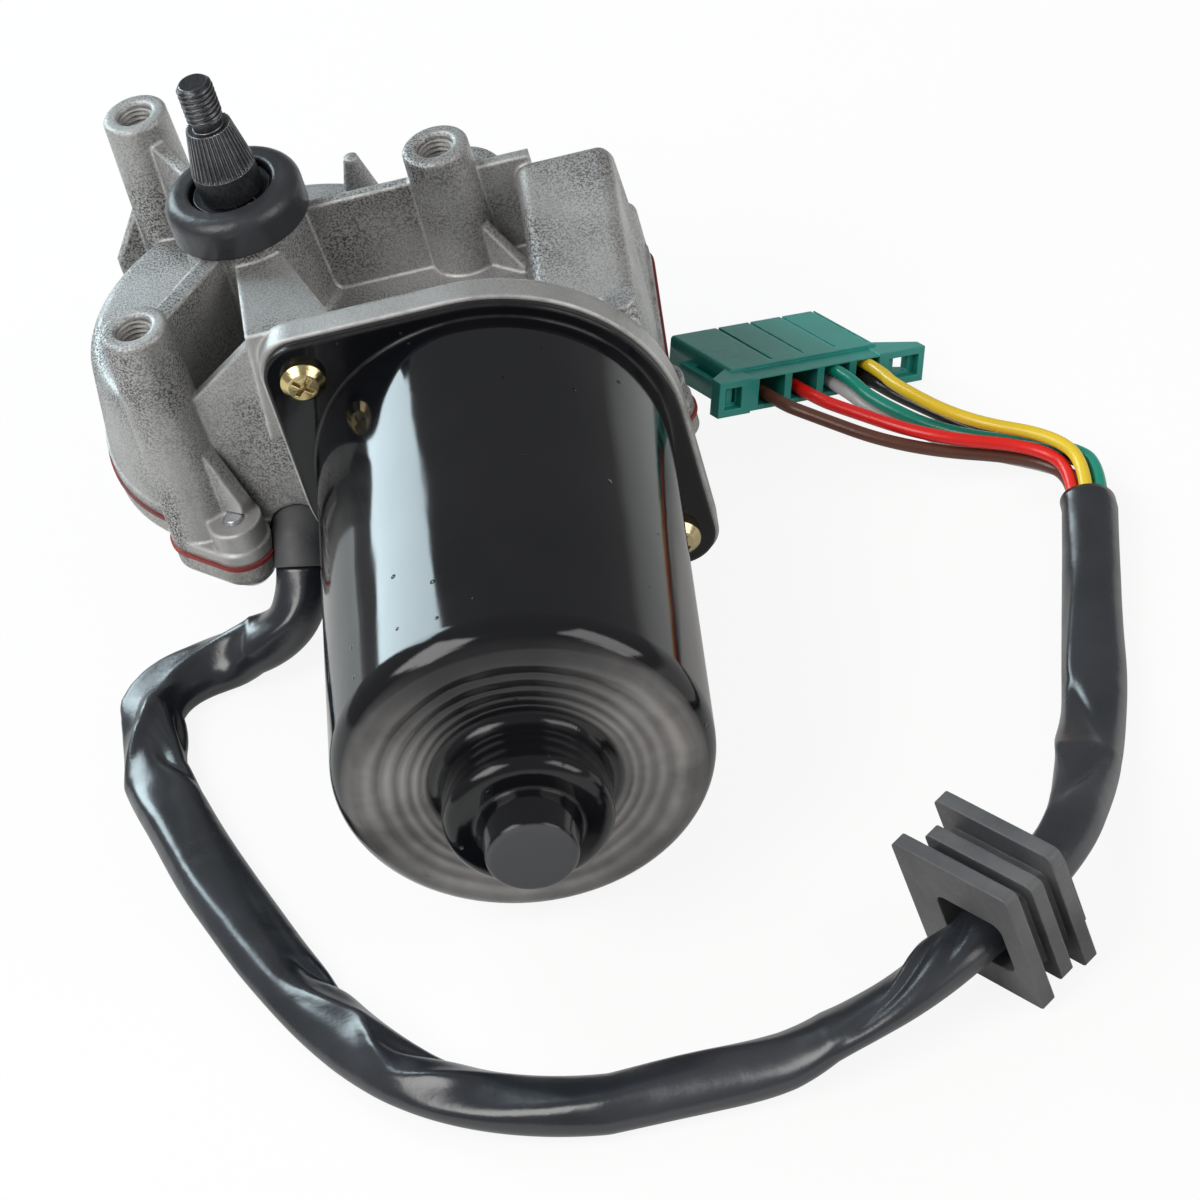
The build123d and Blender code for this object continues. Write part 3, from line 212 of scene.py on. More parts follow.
def cast_metal(name, dark, pale, rubbed_and_highlight, speckle_scale, machined_y=0.0):
    """Cast surface: dark specks thick in some places and thin in others, edges rubbed bright and painted
    paler still as a highlight.
    Where a machined_y is given, the specks are thin in front of it."""
    material, tree, shader = new_material(name, Metallic=0.55, Specular_IOR_Level=0.5)
    grain = use_group(tree, grain_group, Scale=speckle_scale, Contrast=0.5)
    wear_and_highlight = use_group(tree, edge_wear_and_highlight_group, Radius=0.0014, Amount=0.7)
    place = object_place(tree)
    patchy = ranged(tree, clouds(tree, place, 42.0), 0.38, 0.62, 0.36, 1.0)
    specks = worked_out(tree, "MULTIPLY", ranged(tree, grain["Speckle"], 0.15, 0.75, 1.0, 0.0), patchy)
    if machined_y:
        along = add_node(tree, "ShaderNodeSeparateXYZ", {0: place}).outputs["Y"]
        rough_cast = ranged(tree, along, machined_y - 1.0 * mm, machined_y + 0.5 * mm, 0.25, 1.0)
        specks = worked_out(tree, "MULTIPLY", specks, rough_cast)
    stained = [value * 0.62 for value in pale]
    colour = mixed(tree, ranged(tree, grain["Blotch"], 0.0, 1.0, 0.0, 0.40), pale, stained)
    colour = mixed(tree, specks, colour, dark)
    # edges: partly rubbed bright metal, partly a painted highlight of rounded corners
    colour = mixed(tree, wear_and_highlight["Edge"], colour, rubbed_and_highlight)
    set_looks(tree, shader, colour, ranged(tree, specks, 0.0, 1.0, 0.40, 0.66),
              bumped(tree, grain["Height"], 0.00010, wear_and_highlight["Normal"]))
    return material


def dress(material, *nodes):
    """Give CAD nodes a material in place of their plain one."""
    for name in nodes:
        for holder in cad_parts[name].material_slots:
            holder.material = material


cast_housing = cast_metal("cast aluminium", (0.052, 0.051, 0.050),
                          (0.470, 0.466, 0.458), (0.90, 0.895, 0.88), 2100.0,
                          machined_y=-46.5 * mm)
dress(cast_housing, "gear_housing")
cast_cover = cast_metal("cast cover", (0.09, 0.085, 0.08), (0.46, 0.45, 0.43), (0.80, 0.78, 0.75), 1900.0)
dress(cast_cover, "gear_cover")

# ---- threads in the mounting posts ----
# M8 threads tapped into the three cast posts, cut bright, each a helical ridge inside its bore.
post_circle_r = 45 * mm
thread_pitch = 1.25 * mm
tapped_top_z = -1.4 * mm
tapped_depth = 16 * mm
tapped_crest_r = 3.38 * mm
tapped_root_r = 3.97 * mm


def mesh_piece(name, points, faces, material):
    """A mesh object in the scene, with smooth faces."""
    mesh = bpy.data.meshes.new(name)
    mesh.from_pydata(points, [], faces)
    mesh.materials.append(material)
    mesh.polygons.foreach_set("use_smooth", [True] * len(mesh.polygons))
    mesh.update()
    piece = bpy.data.objects.new(name, mesh)
    bpy.context.scene.collection.objects.link(piece)
    return piece


def ring_faces(rings, count, close=False):
    """Quads between neighbouring rings of points, and from the last ring to the first if closed."""
    faces = []
    for row in range(rings if close else rings - 1):
        below, above = row * count, (row + 1) % rings * count
        for i in range(count):
            j = (i + 1) % count
            faces.append((below + i, below + j, above + j, above + i))
    return faces


def zigzag(turns):
    """Triangle wave: 0 at whole turns, 1 halfway between."""
    part = turns % 1.0
    return 1 - abs(2 * part - 1)


def tapped_thread(name, centre):
    """Closed ring-shaped skin: the thread inside, a plain wall just behind the bore outside."""
    around = 48
    rows = 140
    wall_r = tapped_root_r * 1.004
    points = []
    for row in range(rows):
        z = tapped_top_z - tapped_depth * row / (rows - 1)
        for i in range(around):
            turn = i / around
            ridge = min(1.0, 1.25 * zigzag(z / thread_pitch - turn))
            r = tapped_root_r + (tapped_crest_r - tapped_root_r) * ridge
            points.append((centre.x + r * cos(2 * pi * turn), centre.y + r * sin(2 * pi * turn), z))
    for z in (tapped_top_z - tapped_depth, tapped_top_z):
        for i in range(around):
            turn = 2 * pi * i / around
            points.append((centre.x + wall_r * cos(turn), centre.y + wall_r * sin(turn), z))
    return mesh_piece(name, points, ring_faces(rows + 2, around, close=True), tapped_metal)


tapped_metal = cast_metal("tapped aluminium", (0.16, 0.15, 0.14), (0.46, 0.45, 0.43),
                          (0.9, 0.88, 0.85), 2600.0)
for number, angle in enumerate((0, 120, 240)):
    centre = Vector((cos(radians(angle)), sin(radians(angle)), 0)) * post_circle_r
    thread = tapped_thread("post_thread_%d" % (number + 1), centre)
    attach(thread, "housing")

# ---- cover gasket ----
# Red silicone sheet between housing and cover, its edge squeezed out a little all round.
gasket, tree, shader = new_material("red silicone", Roughness=0.55, Specular_IOR_Level=0.4)
grain = use_group(tree, grain_group, Scale=900.0, Contrast=0.9)
colour = mixed(tree, grain["Blotch"], (0.16, 0.022, 0.02), (0.30, 0.035, 0.03))
colour = mixed(tree, ranged(tree, grain["Speckle"], 0.0, 0.35, 0.5, 0.0), colour, (0.05, 0.03, 0.03))
tree.links.new(colour, shader["Base Color"])
tree.links.new(bumped(tree, grain["Height"], 0.0002), shader["Normal"])
dress(gasket, "cover_gasket")

# ---- screws, nut and end play screw ----
# Small turned steel pieces: zinc plated and clear passivated on the cover, yellow passivated on the
# can flange. Plating is bright, clouded by dull specks.


def plated_steel(name, first, second, dull, roughness):
    material, tree, shader = new_material(name, Metallic=1.0)
    grain = use_group(tree, grain_group, Scale=1100.0, Contrast=1.2)
    wear_and_highlight = use_group(tree, edge_wear_and_highlight_group, Radius=0.00035, Amount=0.8)
    colour = mixed(tree, grain["Blotch"], first, second)
    colour = mixed(tree, ranged(tree, grain["Speckle"], 0.0, 0.3, 0.6, 0.0), colour, dull)
    colour = mixed(tree, wear_and_highlight["Edge"], colour, (0.85, 0.83, 0.78))
    set_looks(tree, shader, colour, ranged(tree, grain["Blotch"], 0.0, 1.0, roughness, roughness + 0.16),
              bumped(tree, grain["Height"], 0.00005, wear_and_highlight["Normal"]))
    return material


clear_zinc = plated_steel("clear zinc", (0.56, 0.58, 0.62), (0.70, 0.70, 0.72), (0.30, 0.30, 0.32), 0.22)
dress(clear_zinc, "cover_screws", "end_play_screw", "lock_nut")
yellow_zinc = plated_steel("yellow zinc", (0.60, 0.47, 0.20), (0.70, 0.60, 0.36), (0.20, 0.13, 0.05), 0.14)
dress(yellow_zinc, "can_screws")

# ---- output shaft ----
# Hardened steel, blackened: smooth journal, straight serrated cone for the crank, relief and M8 stud.
# Turned as one skin of rings, the serrations and the helical thread being changes of its radius.
shaft_rings = 144
serrations = 36
journal_profile = ((-55.8, 6.2), (-55.0, 7.0), (0.05, 7.0), (0.05, 6.4), (1.25, 6.4), (1.25, 7.0),
                   (7.7, 7.0))
cone_bottom = (8.0, 7.0)
cone_top = (18.6, 5.0)
relief_r = 3.3
thread_bottom_z = 20.2
stud_tip_z = 30.0
stud_r = 4.0
stud_root_r = 3.38
tip_chamfer = 0.9


def shaft_radius(z, turn):
    """Radius in millimetres of the cone and the stud at a height and a share of a turn."""
    if z <= cone_top[0]:
        along = (z - cone_bottom[0]) / (cone_top[0] - cone_bottom[0])
        crest = cone_bottom[1] + (cone_top[1] - cone_bottom[1]) * along
        groove = min(1.0, 1.6 * zigzag(turn * serrations))
        return crest * (1 - 0.07 * groove)
    if z < thread_bottom_z:
        return relief_r
    crest = min(stud_r, stud_r - tip_chamfer + (stud_tip_z - z))
    ridge = max(0.0, min(1.0, 1.5 * zigzag(z * mm / thread_pitch - turn) - 0.2))
    run_in = min(1.0, (z - thread_bottom_z) / 0.8)
    return min(crest, stud_root_r + (stud_r - stud_root_r) * ridge * run_in)


shaft_rows = [(z, r, False) for z, r in journal_profile]
cone_steps = 12
for step in range(cone_steps + 1):
    shaft_rows.append((cone_bottom[0] + (cone_top[0] - cone_bottom[0]) * step / cone_steps, None, True))
shaft_rows += [(cone_top[0] + 0.01, relief_r, False), (thread_bottom_z - 0.01, relief_r, False)]
thread_steps = 66
for step in range(thread_steps + 1):
    shaft_rows.append((thread_bottom_z + (stud_tip_z - thread_bottom_z) * step / thread_steps, None, True))
shaft_points = []
for z, plain_r, shaped in shaft_rows:
    for i in range(shaft_rings):
        turn = i / shaft_rings
        r = (shaft_radius(z, turn) if shaped else plain_r) * mm
        shaft_points.append((r * cos(2 * pi * turn), r * sin(2 * pi * turn), z * mm))
shaft_faces = ring_faces(len(shaft_rows), shaft_rings)
last_row = (len(shaft_rows) - 1) * shaft_rings
shaft_faces.append(tuple(reversed(range(shaft_rings))))
shaft_faces.append(tuple(range(last_row, last_row + shaft_rings)))

black_oxide, tree, shader = new_material("black oxide", Metallic=0.75)
grain = use_group(tree, grain_group, Scale=1300.0, Contrast=1.0)
wear_and_highlight = use_group(tree, edge_wear_and_highlight_group, Radius=0.00035, Amount=1.0)
colour = mixed(tree, grain["Speckle"], (0.022, 0.023, 0.026), (0.075, 0.077, 0.084))
# crests and edges: partly bare steel rubbed through the black, partly a painted highlight
colour = mixed(tree, wear_and_highlight["Edge"], colour, (0.50, 0.50, 0.52))
set_looks(tree, shader, colour, ranged(tree, grain["Blotch"], 0.0, 1.0, 0.28, 0.45),
          bumped(tree, grain["Height"], 0.00004, wear_and_highlight["Normal"]))
shaft = mesh_piece("blackened_shaft", shaft_points, shaft_faces, black_oxide)
shaft.data.set_sharp_from_angle(angle=radians(32))
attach(shaft, "output")
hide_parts("output_shaft")

# ---- rubber cap, seal and cable grommets ----
# Moulded black rubber, matt, with a faint bloom of grey dust.


def moulded_rubber(name, dark, bloom, roughness, bloom_share):
    """Dull black with a pale bloom, thicker on the edges and in specks, the skin slightly dented."""
    material, tree, shader = new_material(name, Specular_IOR_Level=0.45)
    grain = use_group(tree, grain_group, Scale=1000.0, Contrast=1.0)
    wear_and_highlight = use_group(tree, edge_wear_and_highlight_group, Radius=0.0006, Amount=1.0)
    colour = mixed(tree, ranged(tree, grain["Blotch"], 0.0, 1.0, 0.1, bloom_share), dark, bloom)
    colour = mixed(tree, ranged(tree, wear_and_highlight["Edge"], 0.0, 1.0, 0.0, 0.6), colour, bloom)
    colour = mixed(tree, ranged(tree, grain["Speckle"], 0.75, 1.0, 0.0, 0.25), colour, bloom)
    dents = bumped(tree, clouds(tree, object_place(tree), 220.0), 0.0004, wear_and_highlight["Normal"], 0.6)
    set_looks(tree, shader, colour, ranged(tree, grain["Speckle"], 0.0, 1.0, roughness, roughness - 0.12),
              bumped(tree, grain["Height"], 0.00006, dents))
    return material


cap_rubber = moulded_rubber("cap rubber", (0.012, 0.013, 0.016), (0.065, 0.068, 0.076), 0.40, 0.45)
dress(cap_rubber, "shaft_cap", "shaft_seal", "can_seal")
grommet_rubber = moulded_rubber("grommet rubber", (0.034, 0.036, 0.040), (0.22, 0.22, 0.225),
                                0.60, 0.45)
dress(grommet_rubber, "cable_grommet", "panel_grommet")

# ---- motor can ----
# Deep-drawn steel, dipped in thick black gloss paint: slow waves and runs in the film, fine nibs of
# dust, and on the flat end the rings that drawing left, under a painted grey sheen with painted shade at
# the top.
motor_axis_x = 44 * mm
motor_axis_z = -44 * mm
can_end_y = -153 * mm
nose_face_y = -174.4 * mm
ring_crowding = 1.35

can_paint, tree, shader = new_material("black gloss paint", Specular_IOR_Level=0.42)
place = object_place(tree)
grain = use_group(tree, grain_group, Scale=700.0, Contrast=0.6)
wear_and_highlight = use_group(tree, edge_wear_and_highlight_group, Radius=0.0012, Amount=0.5)
to_axis = {"Vector": place, "Location": (-motor_axis_x, 0, -motor_axis_z), "Scale": (1, 0, 1)}
off_axis = add_node(tree, "ShaderNodeMapping", to_axis).outputs[0]
from_axis = add_node(tree, "ShaderNodeVectorMath", {0: off_axis}, operation="LENGTH").outputs["Value"]
height = add_node(tree, "ShaderNodeSeparateXYZ", {0: off_axis}).outputs["Z"]
upness = worked_out(tree, "DIVIDE", height, from_axis)
along = add_node(tree, "ShaderNodeSeparateXYZ", {0: place}).outputs["Y"]
on_end = ranged(tree, along, can_end_y + 2.0 * mm, can_end_y - 0.5 * mm)
off_boss = ranged(tree, from_axis, 18.5 * mm, 20.5 * mm)
flat_end = worked_out(tree, "MULTIPLY", on_end, off_boss)

# the rings stand 2 mm apart beside the boss and 6 mm apart at the corner
wander = scaled(tree, clouds(tree, place, 60.0), 3.0)
ring_place = worked_out(tree, "ADD", worked_out(tree, "DIVIDE", ring_crowding, from_axis), wander)
ring_wave = worked_out(tree, "SINE", ring_place)
ring_height = worked_out(tree, "MULTIPLY", ring_wave, flat_end)
# painted sheen on the flat end following the rings, and painted shade making it darker towards the top
painted_ring_sheen = worked_out(tree, "MULTIPLY", ranged(tree, ring_wave, -0.7, 1.0, 0.62, 1.0), flat_end)
painted_ring_sheen = worked_out(tree, "MULTIPLY", painted_ring_sheen, ranged(tree, upness, 0.95, 0.35, 0.06, 1.0))
painted_sheen_patches = ranged(tree, clouds(tree, place, 75.0, 3.0), 0.35, 0.6, 0.55, 1.0)
painted_ring_sheen = worked_out(tree, "MULTIPLY", painted_ring_sheen, painted_sheen_patches)
on_nose = ranged(tree, along, nose_face_y + 0.6 * mm, nose_face_y + 0.2 * mm)

colour = mixed(tree, grain["Blotch"], (0.0035, 0.004, 0.0055), (0.008, 0.008, 0.010))
colour = mixed(tree, ranged(tree, wear_and_highlight["Edge"], 0.0, 1.0, 0.0, 0.25), colour, (0.16, 0.15, 0.14))
# the painted sheen's grey laid into the paint colour of the flat end
colour = mixed(tree, scaled(tree, painted_ring_sheen, 0.9), colour, (0.430, 0.412, 0.400))
colour = mixed(tree, on_nose, colour, (0.062, 0.063, 0.068))
rough = ranged(tree, grain["Blotch"], 0.0, 1.0, 0.06, 0.11)
rough = worked_out(tree, "ADD", rough, scaled(tree, painted_ring_sheen, 0.22))
rough = worked_out(tree, "ADD", rough, scaled(tree, on_nose, 0.35))

drawn_out = add_node(tree, "ShaderNodeMapping", {"Vector": place, "Scale": (1.0, 0.22, 0.5)}).outputs[0]
nibs = add_node(tree, "ShaderNodeTexVoronoi", {"Vector": place, "Scale": 130.0}).outputs["Distance"]
relief = bumped(tree, ring_height, 0.00013, wear_and_highlight["Normal"])
relief = bumped(tree, clouds(tree, place, 30.0, 1.0), 0.0010, relief, 0.35)
relief = bumped(tree, clouds(tree, drawn_out, 150.0), 0.00014, relief, 0.5)
relief = bumped(tree, ranged(tree, nibs, 0.075, 0.03), 0.00015, relief)
set_looks(tree, shader, colour, rough, relief)
dress(can_paint, "motor_can")

# ---- ground and rolled steel ----
# Bearings, shafts, washers and springs inside and under the housing, ground or rolled bright.


def bright_steel(name, dark, pale, roughness, stretch):
    """Steel with fine marks drawn out along one direction."""
    material, tree, shader = new_material(name, Metallic=1.0)
    drawn = add_node(tree, "ShaderNodeMapping", {"Vector": object_place(tree), "Scale": stretch}).outputs[0]
    marks = clouds(tree, drawn, 1200.0, 3.0)
    wear_and_highlight = use_group(tree, edge_wear_and_highlight_group, Radius=0.0003, Amount=0.6)
    colour = mixed(tree, marks, dark, pale)
    colour = mixed(tree, wear_and_highlight["Edge"], colour, (0.85, 0.85, 0.84))
    set_looks(tree, shader, colour, ranged(tree, marks, 0.3, 0.7, roughness, roughness + 0.15),
              bumped(tree, marks, 0.00003, wear_and_highlight["Normal"]))
    return material


turned_steel = bright_steel("ground steel", (0.36, 0.36, 0.38), (0.66, 0.66, 0.68), 0.22, (0.25, 1.0, 0.25))
dress(turned_steel, "front_bearing", "rear_bearing", "bearing_retainer", "thrust_ball",
      "armature_shaft", "worm", "wheel_hub", "brush_springs")
washer_steel = bright_steel("rolled steel", (0.012, 0.012, 0.014), (0.035, 0.035, 0.038), 0.4,
                            (0.3, 0.3, 1.0))
dress(washer_steel, "shaft_washer", "retaining_ring")
lamination = bright_steel("stacked laminations", (0.12, 0.12, 0.13), (0.30, 0.30, 0.31), 0.4,
                          (0.05, 2.0, 0.05))
dress(lamination, "armature_core")
ferrite = cast_metal("ferrite", (0.035, 0.036, 0.038), (0.08, 0.08, 0.085), (0.14, 0.14, 0.14), 1800.0)
dress(ferrite, "field_magnets")

# ---- bronze, brass and copper ----
# Oil-soaked sintered bushes, stamped brass contacts and cam disc, enamelled windings.
sintered_bronze = cast_metal("sintered bronze", (0.20, 0.12, 0.05), (0.50, 0.34, 0.17),
                             (0.70, 0.52, 0.30), 2200.0)
dress(sintered_bronze, "tail_bush", "output_bush_upper", "output_bush_lower", "thrust_washer")
stamped_brass = plated_steel("stamped brass", (0.62, 0.44, 0.16), (0.78, 0.60, 0.28),
                             (0.25, 0.16, 0.06), 0.24)
dress(stamped_brass, "brush_holders", "park_disc", "contact_springs", "connector_terminals")
enamel_copper = plated_steel("enamelled copper", (0.50, 0.20, 0.09), (0.68, 0.33, 0.17),
                             (0.20, 0.07, 0.03), 0.28)
dress(enamel_copper, "armature_windings", "commutator")

# ---- boards, brushes and wheel ----
# Brown laminate boards, pressed carbon, and a wheel moulded in white polymer.


def moulded_plastic(name, dark, pale, roughness, depth):
    material, tree, shader = new_material(name, Specular_IOR_Level=0.45)
    grain = use_group(tree, grain_group, Scale=800.0, Contrast=1.1)
    wear_and_highlight = use_group(tree, edge_wear_and_highlight_group, Radius=0.0004, Amount=0.8)
    colour = mixed(tree, grain["Blotch"], dark, pale)
    colour = mixed(tree, ranged(tree, grain["Speckle"], 0.0, 0.3, 0.35, 0.0), colour, dark)
    lit = [min(1.0, value * 1.7 + 0.02) for value in pale]
    colour = mixed(tree, ranged(tree, wear_and_highlight["Edge"], 0.0, 1.0, 0.0, 0.7), colour, lit)
    set_looks(tree, shader, colour, ranged(tree, grain["Blotch"], 0.0, 1.0, roughness, roughness + 0.12),
              bumped(tree, grain["Height"], depth, wear_and_highlight["Normal"]))
    return material


laminate = moulded_plastic("brown laminate", (0.16, 0.08, 0.035), (0.28, 0.15, 0.07), 0.5, 0.00005)
dress(laminate, "brush_plate", "contact_plate")
carbon = moulded_plastic("pressed carbon", (0.02, 0.02, 0.02), (0.05, 0.05, 0.05), 0.6, 0.00006)
dress(carbon, "carbon_brushes")
white_polymer = moulded_plastic("white polymer", (0.66, 0.64, 0.56), (0.78, 0.77, 0.70), 0.42, 0.00004)
dress(white_polymer, "worm_wheel")

# ---- connector ----
# Flat eight-way connector moulded in glossy teal plastic, scuffed pale along its edges.
teal_plastic = moulded_plastic("teal plastic", (0.010, 0.170, 0.140), (0.018, 0.260, 0.218), 0.26, 0.00004)
dress(teal_plastic, "connector_housing")

# ---- harness sleeve ----
# Soft black tube over the six wires. It lies flattened on the floor, creased where it folds
# below the motor, and runs through the panel grommet. Cut square at its far end.
sleeve_z = -80.15
sleeve_route = (
    (-3.9, -52.2, -63.4), (-5.36, -57.58, -69.22), (-13.4, -59.6, -76.2), (-27.0, -56.0, sleeve_z),
    (-41.0, -62.0, sleeve_z), (-45.2, -76.5, sleeve_z), (-41.7, -91.0, sleeve_z),
    (-36.4, -105.5, sleeve_z), (-27.3, -128.5, sleeve_z), (-16.2, -152.5, sleeve_z),
    (-3.5, -175.0, sleeve_z), (13.0, -193.5, sleeve_z), (38.0, -205.5, sleeve_z),
    (66.0, -208.0, sleeve_z), (91.0, -205.2, -78.2), (114.5, -200.5, -72.1),
    (143.1, -177.1, -69.9), (150.3, -154.5, -76.8), (155.8, -128.0, sleeve_z),
    (159.8, -99.5, sleeve_z), (164.8, -69.52, sleeve_z))
sleeve_length = 437 * mm
rest_z = -85.75 * mm
skin_clear = 0.1 * mm


def draw_route(name, route):
    """Smooth curve drawn by a route's control points, given in millimetres."""
    curve = bpy.data.curves.new(name, "CURVE")
    curve.dimensions = "3D"
    curve.resolution_u = 24
    spline = curve.splines.new("NURBS")
    spline.points.add(len(route) - 1)
    for point, place in zip(spline.points, route):
        point.co = (*(Vector(place) * mm), 1.0)
    spline.order_u = 3
    spline.use_endpoint_u = True
    cord = bpy.data.objects.new(name, curve)
    bpy.context.scene.collection.objects.link(cord)
    return cord


def even_points(cord, step):
    """Points read off a curve's own line, at even steps."""
    line = [vertex.co.copy() for vertex in bpy.data.meshes.new_from_object(cord).vertices]
    reach = [0.0]
    for before, here in zip(line, line[1:]):
        reach.append(reach[-1] + (here - before).length)
    count = round(reach[-1] / step)
    points = []
    k = 0
    for i in range(count + 1):
        want = min(reach[-1] * i / count, reach[-1] - 1e-9)
        while reach[k + 1] < want:
            k += 1
        share = (want - reach[k]) / (reach[k + 1] - reach[k])
        points.append(line[k].lerp(line[k + 1], share))
    return points


# share of the length, then width and thickness in millimetres and roll in degrees
sleeve_forms = (
    (0.00, 11.6, 10.8, 0), (0.03, 12.4, 9.6, 10), (0.07, 13.2, 8.4, 20), (0.12, 13.2, 8.6, 8),
    (0.165, 15.0, 7.2, -6), (0.20, 14.6, 8.0, 4), (0.26, 15.6, 7.2, 10), (0.33, 15.0, 7.6, 6),
    (0.38, 13.6, 8.8, -4), (0.43, 13.6, 8.6, 4), (0.50, 13.4, 9.0, 6), (0.57, 13.2, 9.2, 0),
    (0.63, 15.2, 7.6, 22), (0.68, 13.6, 9.0, 24), (0.72, 11.4, 10.6, 6), (0.77, 11.4, 10.4, 0),
    (0.82, 13.0, 9.2, -12), (0.88, 13.2, 9.2, -4), (0.94, 12.4, 9.8, 0), (1.00, 11.8, 10.6, 0))


def sleeve_form(share):
    """Width, thickness and roll at a share of the length, eased between the forms."""
    for before, after in zip(sleeve_forms, sleeve_forms[1:]):
        if share <= after[0]:
            part = (share - before[0]) / (after[0] - before[0])
            part = part * part * (3 - 2 * part)
            return [a + (b - a) * part for a, b in zip(before[1:], after[1:])]
    return list(sleeve_forms[-1][1:])


# folds: distance along the sleeve and reach along it in millimetres, place round it and width in
# turns, height in millimetres, and how many turns it winds round in 100 mm. A quarter turn is on top.
sleeve_folds = (
    (14, 12, 0.33, 0.06, 1.0, 0.0), (24, 10, 0.12, 0.05, 1.1, 0.6), (38, 15, 0.22, 0.05, 1.2, 0.5),
    (50, 13, 0.06, 0.045, 1.5, -0.5), (57, 11, 0.20, 0.04, 1.5, -0.9), (60, 9, 0.44, 0.06, -2.0, 0.6),
    (69, 10, 0.33, 0.05, -1.2, 1.3), (108, 46, 0.15, 0.08, 1.2, 0.06), (130, 30, 0.34, 0.07, -0.8, -0.1),
    (150, 8, 0.42, 0.07, -1.9, 1.4), (160, 14, 0.30, 0.05, 1.0, 0.7), (174, 9, 0.27, 0.05, 1.5, -0.9),
    (183, 9, 0.37, 0.05, -1.5, 1.0), (192, 12, 0.24, 0.05, 1.1, 0.8), (222, 24, 0.16, 0.08, 0.9, 0.3),
    (252, 22, 0.31, 0.07, 0.9, -0.5), (284, 12, 0.17, 0.06, -1.4, 1.0), (292, 12, 0.30, 0.045, 1.6, 1.4),
    (300, 9, 0.20, 0.05, -1.0, 1.4), (338, 14, 0.36, 0.05, 1.3, 0.4), (349, 11, 0.24, 0.05, -1.3, -0.8),
    (360, 14, 0.42, 0.05, 1.4, 0.7), (372, 12, 0.30, 0.05, -0.9, 0.9), (390, 22, 0.36, 0.05, 0.9, -0.2))


def crease(turn, distance):
    """Height of the folds and of a soft unevenness, in millimetres, at a place on the sleeve."""
    height = 0.3 * noise.noise(Vector((cos(2 * pi * turn), sin(2 * pi * turn), distance * 0.045)))
    for centre, reach, around, width, depth, wind in sleeve_folds:
        along = (distance - centre) / reach
        if abs(along) < 2.2:
            off = (turn - around - wind * (distance - centre) / 100 + 0.5) % 1.0 - 0.5
            height += depth * 2.0 ** (-2 * along * along) / (1 + (off / width) ** 2) ** 1.5
    return height


def sleeve_ring(points, index, around, squeeze=1.0):
    """One cross-section of the sleeve: a rounded flat loop, rolled about the line it follows. Near
    the floor it is lowered on to it, and nowhere does it pass the floor or the room it has."""
    share = index / (len(points) - 1)
    width, thick, roll = sleeve_form(share)
    ahead = points[min(index + 1, len(points) - 1)] - points[max(index - 1, 0)]
    ahead.normalize()
    side = ahead.cross(Vector((0, 0, 1))).normalized()
    rise = side.cross(ahead)
    turned = radians(roll)
    across = side * cos(turned) + rise * sin(turned)
    up = rise * cos(turned) - side * sin(turned)
    ring = []
    for i in range(around):
        turn = i / around
        bulge = crease(turn, share * sleeve_length / mm) * squeeze
        x = (width / 2 * squeeze + bulge) * cos(2 * pi * turn)
        y = (thick / 2 * squeeze + bulge) * sin(2 * pi * turn)
        ring.append(points[index] + (across * x + up * y) * mm)
    gap = min(point.z for point in ring) - rest_z
    resting = min(1.0, max(0.0, (rest_z + 8.2 * mm - points[index].z) / (2.4 * mm)))
    left = min(0.0, min(point.x for point in ring) - cad_low.x - skin_clear)
    right = max(0.0, max(point.x for point in ring) - cad_high.x + skin_clear)
    front = min(0.0, min(point.y for point in ring) - cad_low.y - skin_clear)
    shift = Vector((left + right, front, gap * resting if gap > 0 else gap))
    return [point - shift for point in ring]


route_line = draw_route("sleeve_route", sleeve_route)
sleeve_points = even_points(route_line, 1.0 * mm)
bpy.data.objects.remove(route_line)
sleeve_around = 72
sleeve_mesh_points = []
for index in range(len(sleeve_points)):
    sleeve_mesh_points += sleeve_ring(sleeve_points, index, sleeve_around)
outer_rings = len(sleeve_points)
mouth_depth = 10
mouth_squeeze = 0.86
for index in range(outer_rings - 1, outer_rings - 1 - mouth_depth, -1):
    sleeve_mesh_points += sleeve_ring(sleeve_points, index, sleeve_around, mouth_squeeze)
sleeve_faces = ring_faces(outer_rings + mouth_depth, sleeve_around)
sleeve_faces.append(tuple(reversed(range(sleeve_around))))
inner_start = (outer_rings + mouth_depth - 1) * sleeve_around
sleeve_faces.append(tuple(range(inner_start, inner_start + sleeve_around)))

sleeve_vinyl, tree, shader = new_material("soft black vinyl", Specular_IOR_Level=0.75)
grain = use_group(tree, grain_group, Scale=900.0, Contrast=1.0)
pucker = clouds(tree, object_place(tree), 55.0, Distortion=0.4)
colour = mixed(tree, grain["Blotch"], (0.012, 0.014, 0.018), (0.026, 0.029, 0.036))
colour = mixed(tree, ranged(tree, grain["Speckle"], 0.8, 1.0, 0.0, 0.2), colour, (0.09, 0.09, 0.095))
set_looks(tree, shader, colour, ranged(tree, grain["Blotch"], 0.0, 1.0, 0.21, 0.32),
          bumped(tree, grain["Height"], 0.00004, bumped(tree, pucker, 0.0012, strength=0.5)))
sleeve = mesh_piece("soft_sleeve", sleeve_mesh_points, sleeve_faces, sleeve_vinyl)
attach(sleeve, "housing")
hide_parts("harness_sleeve")

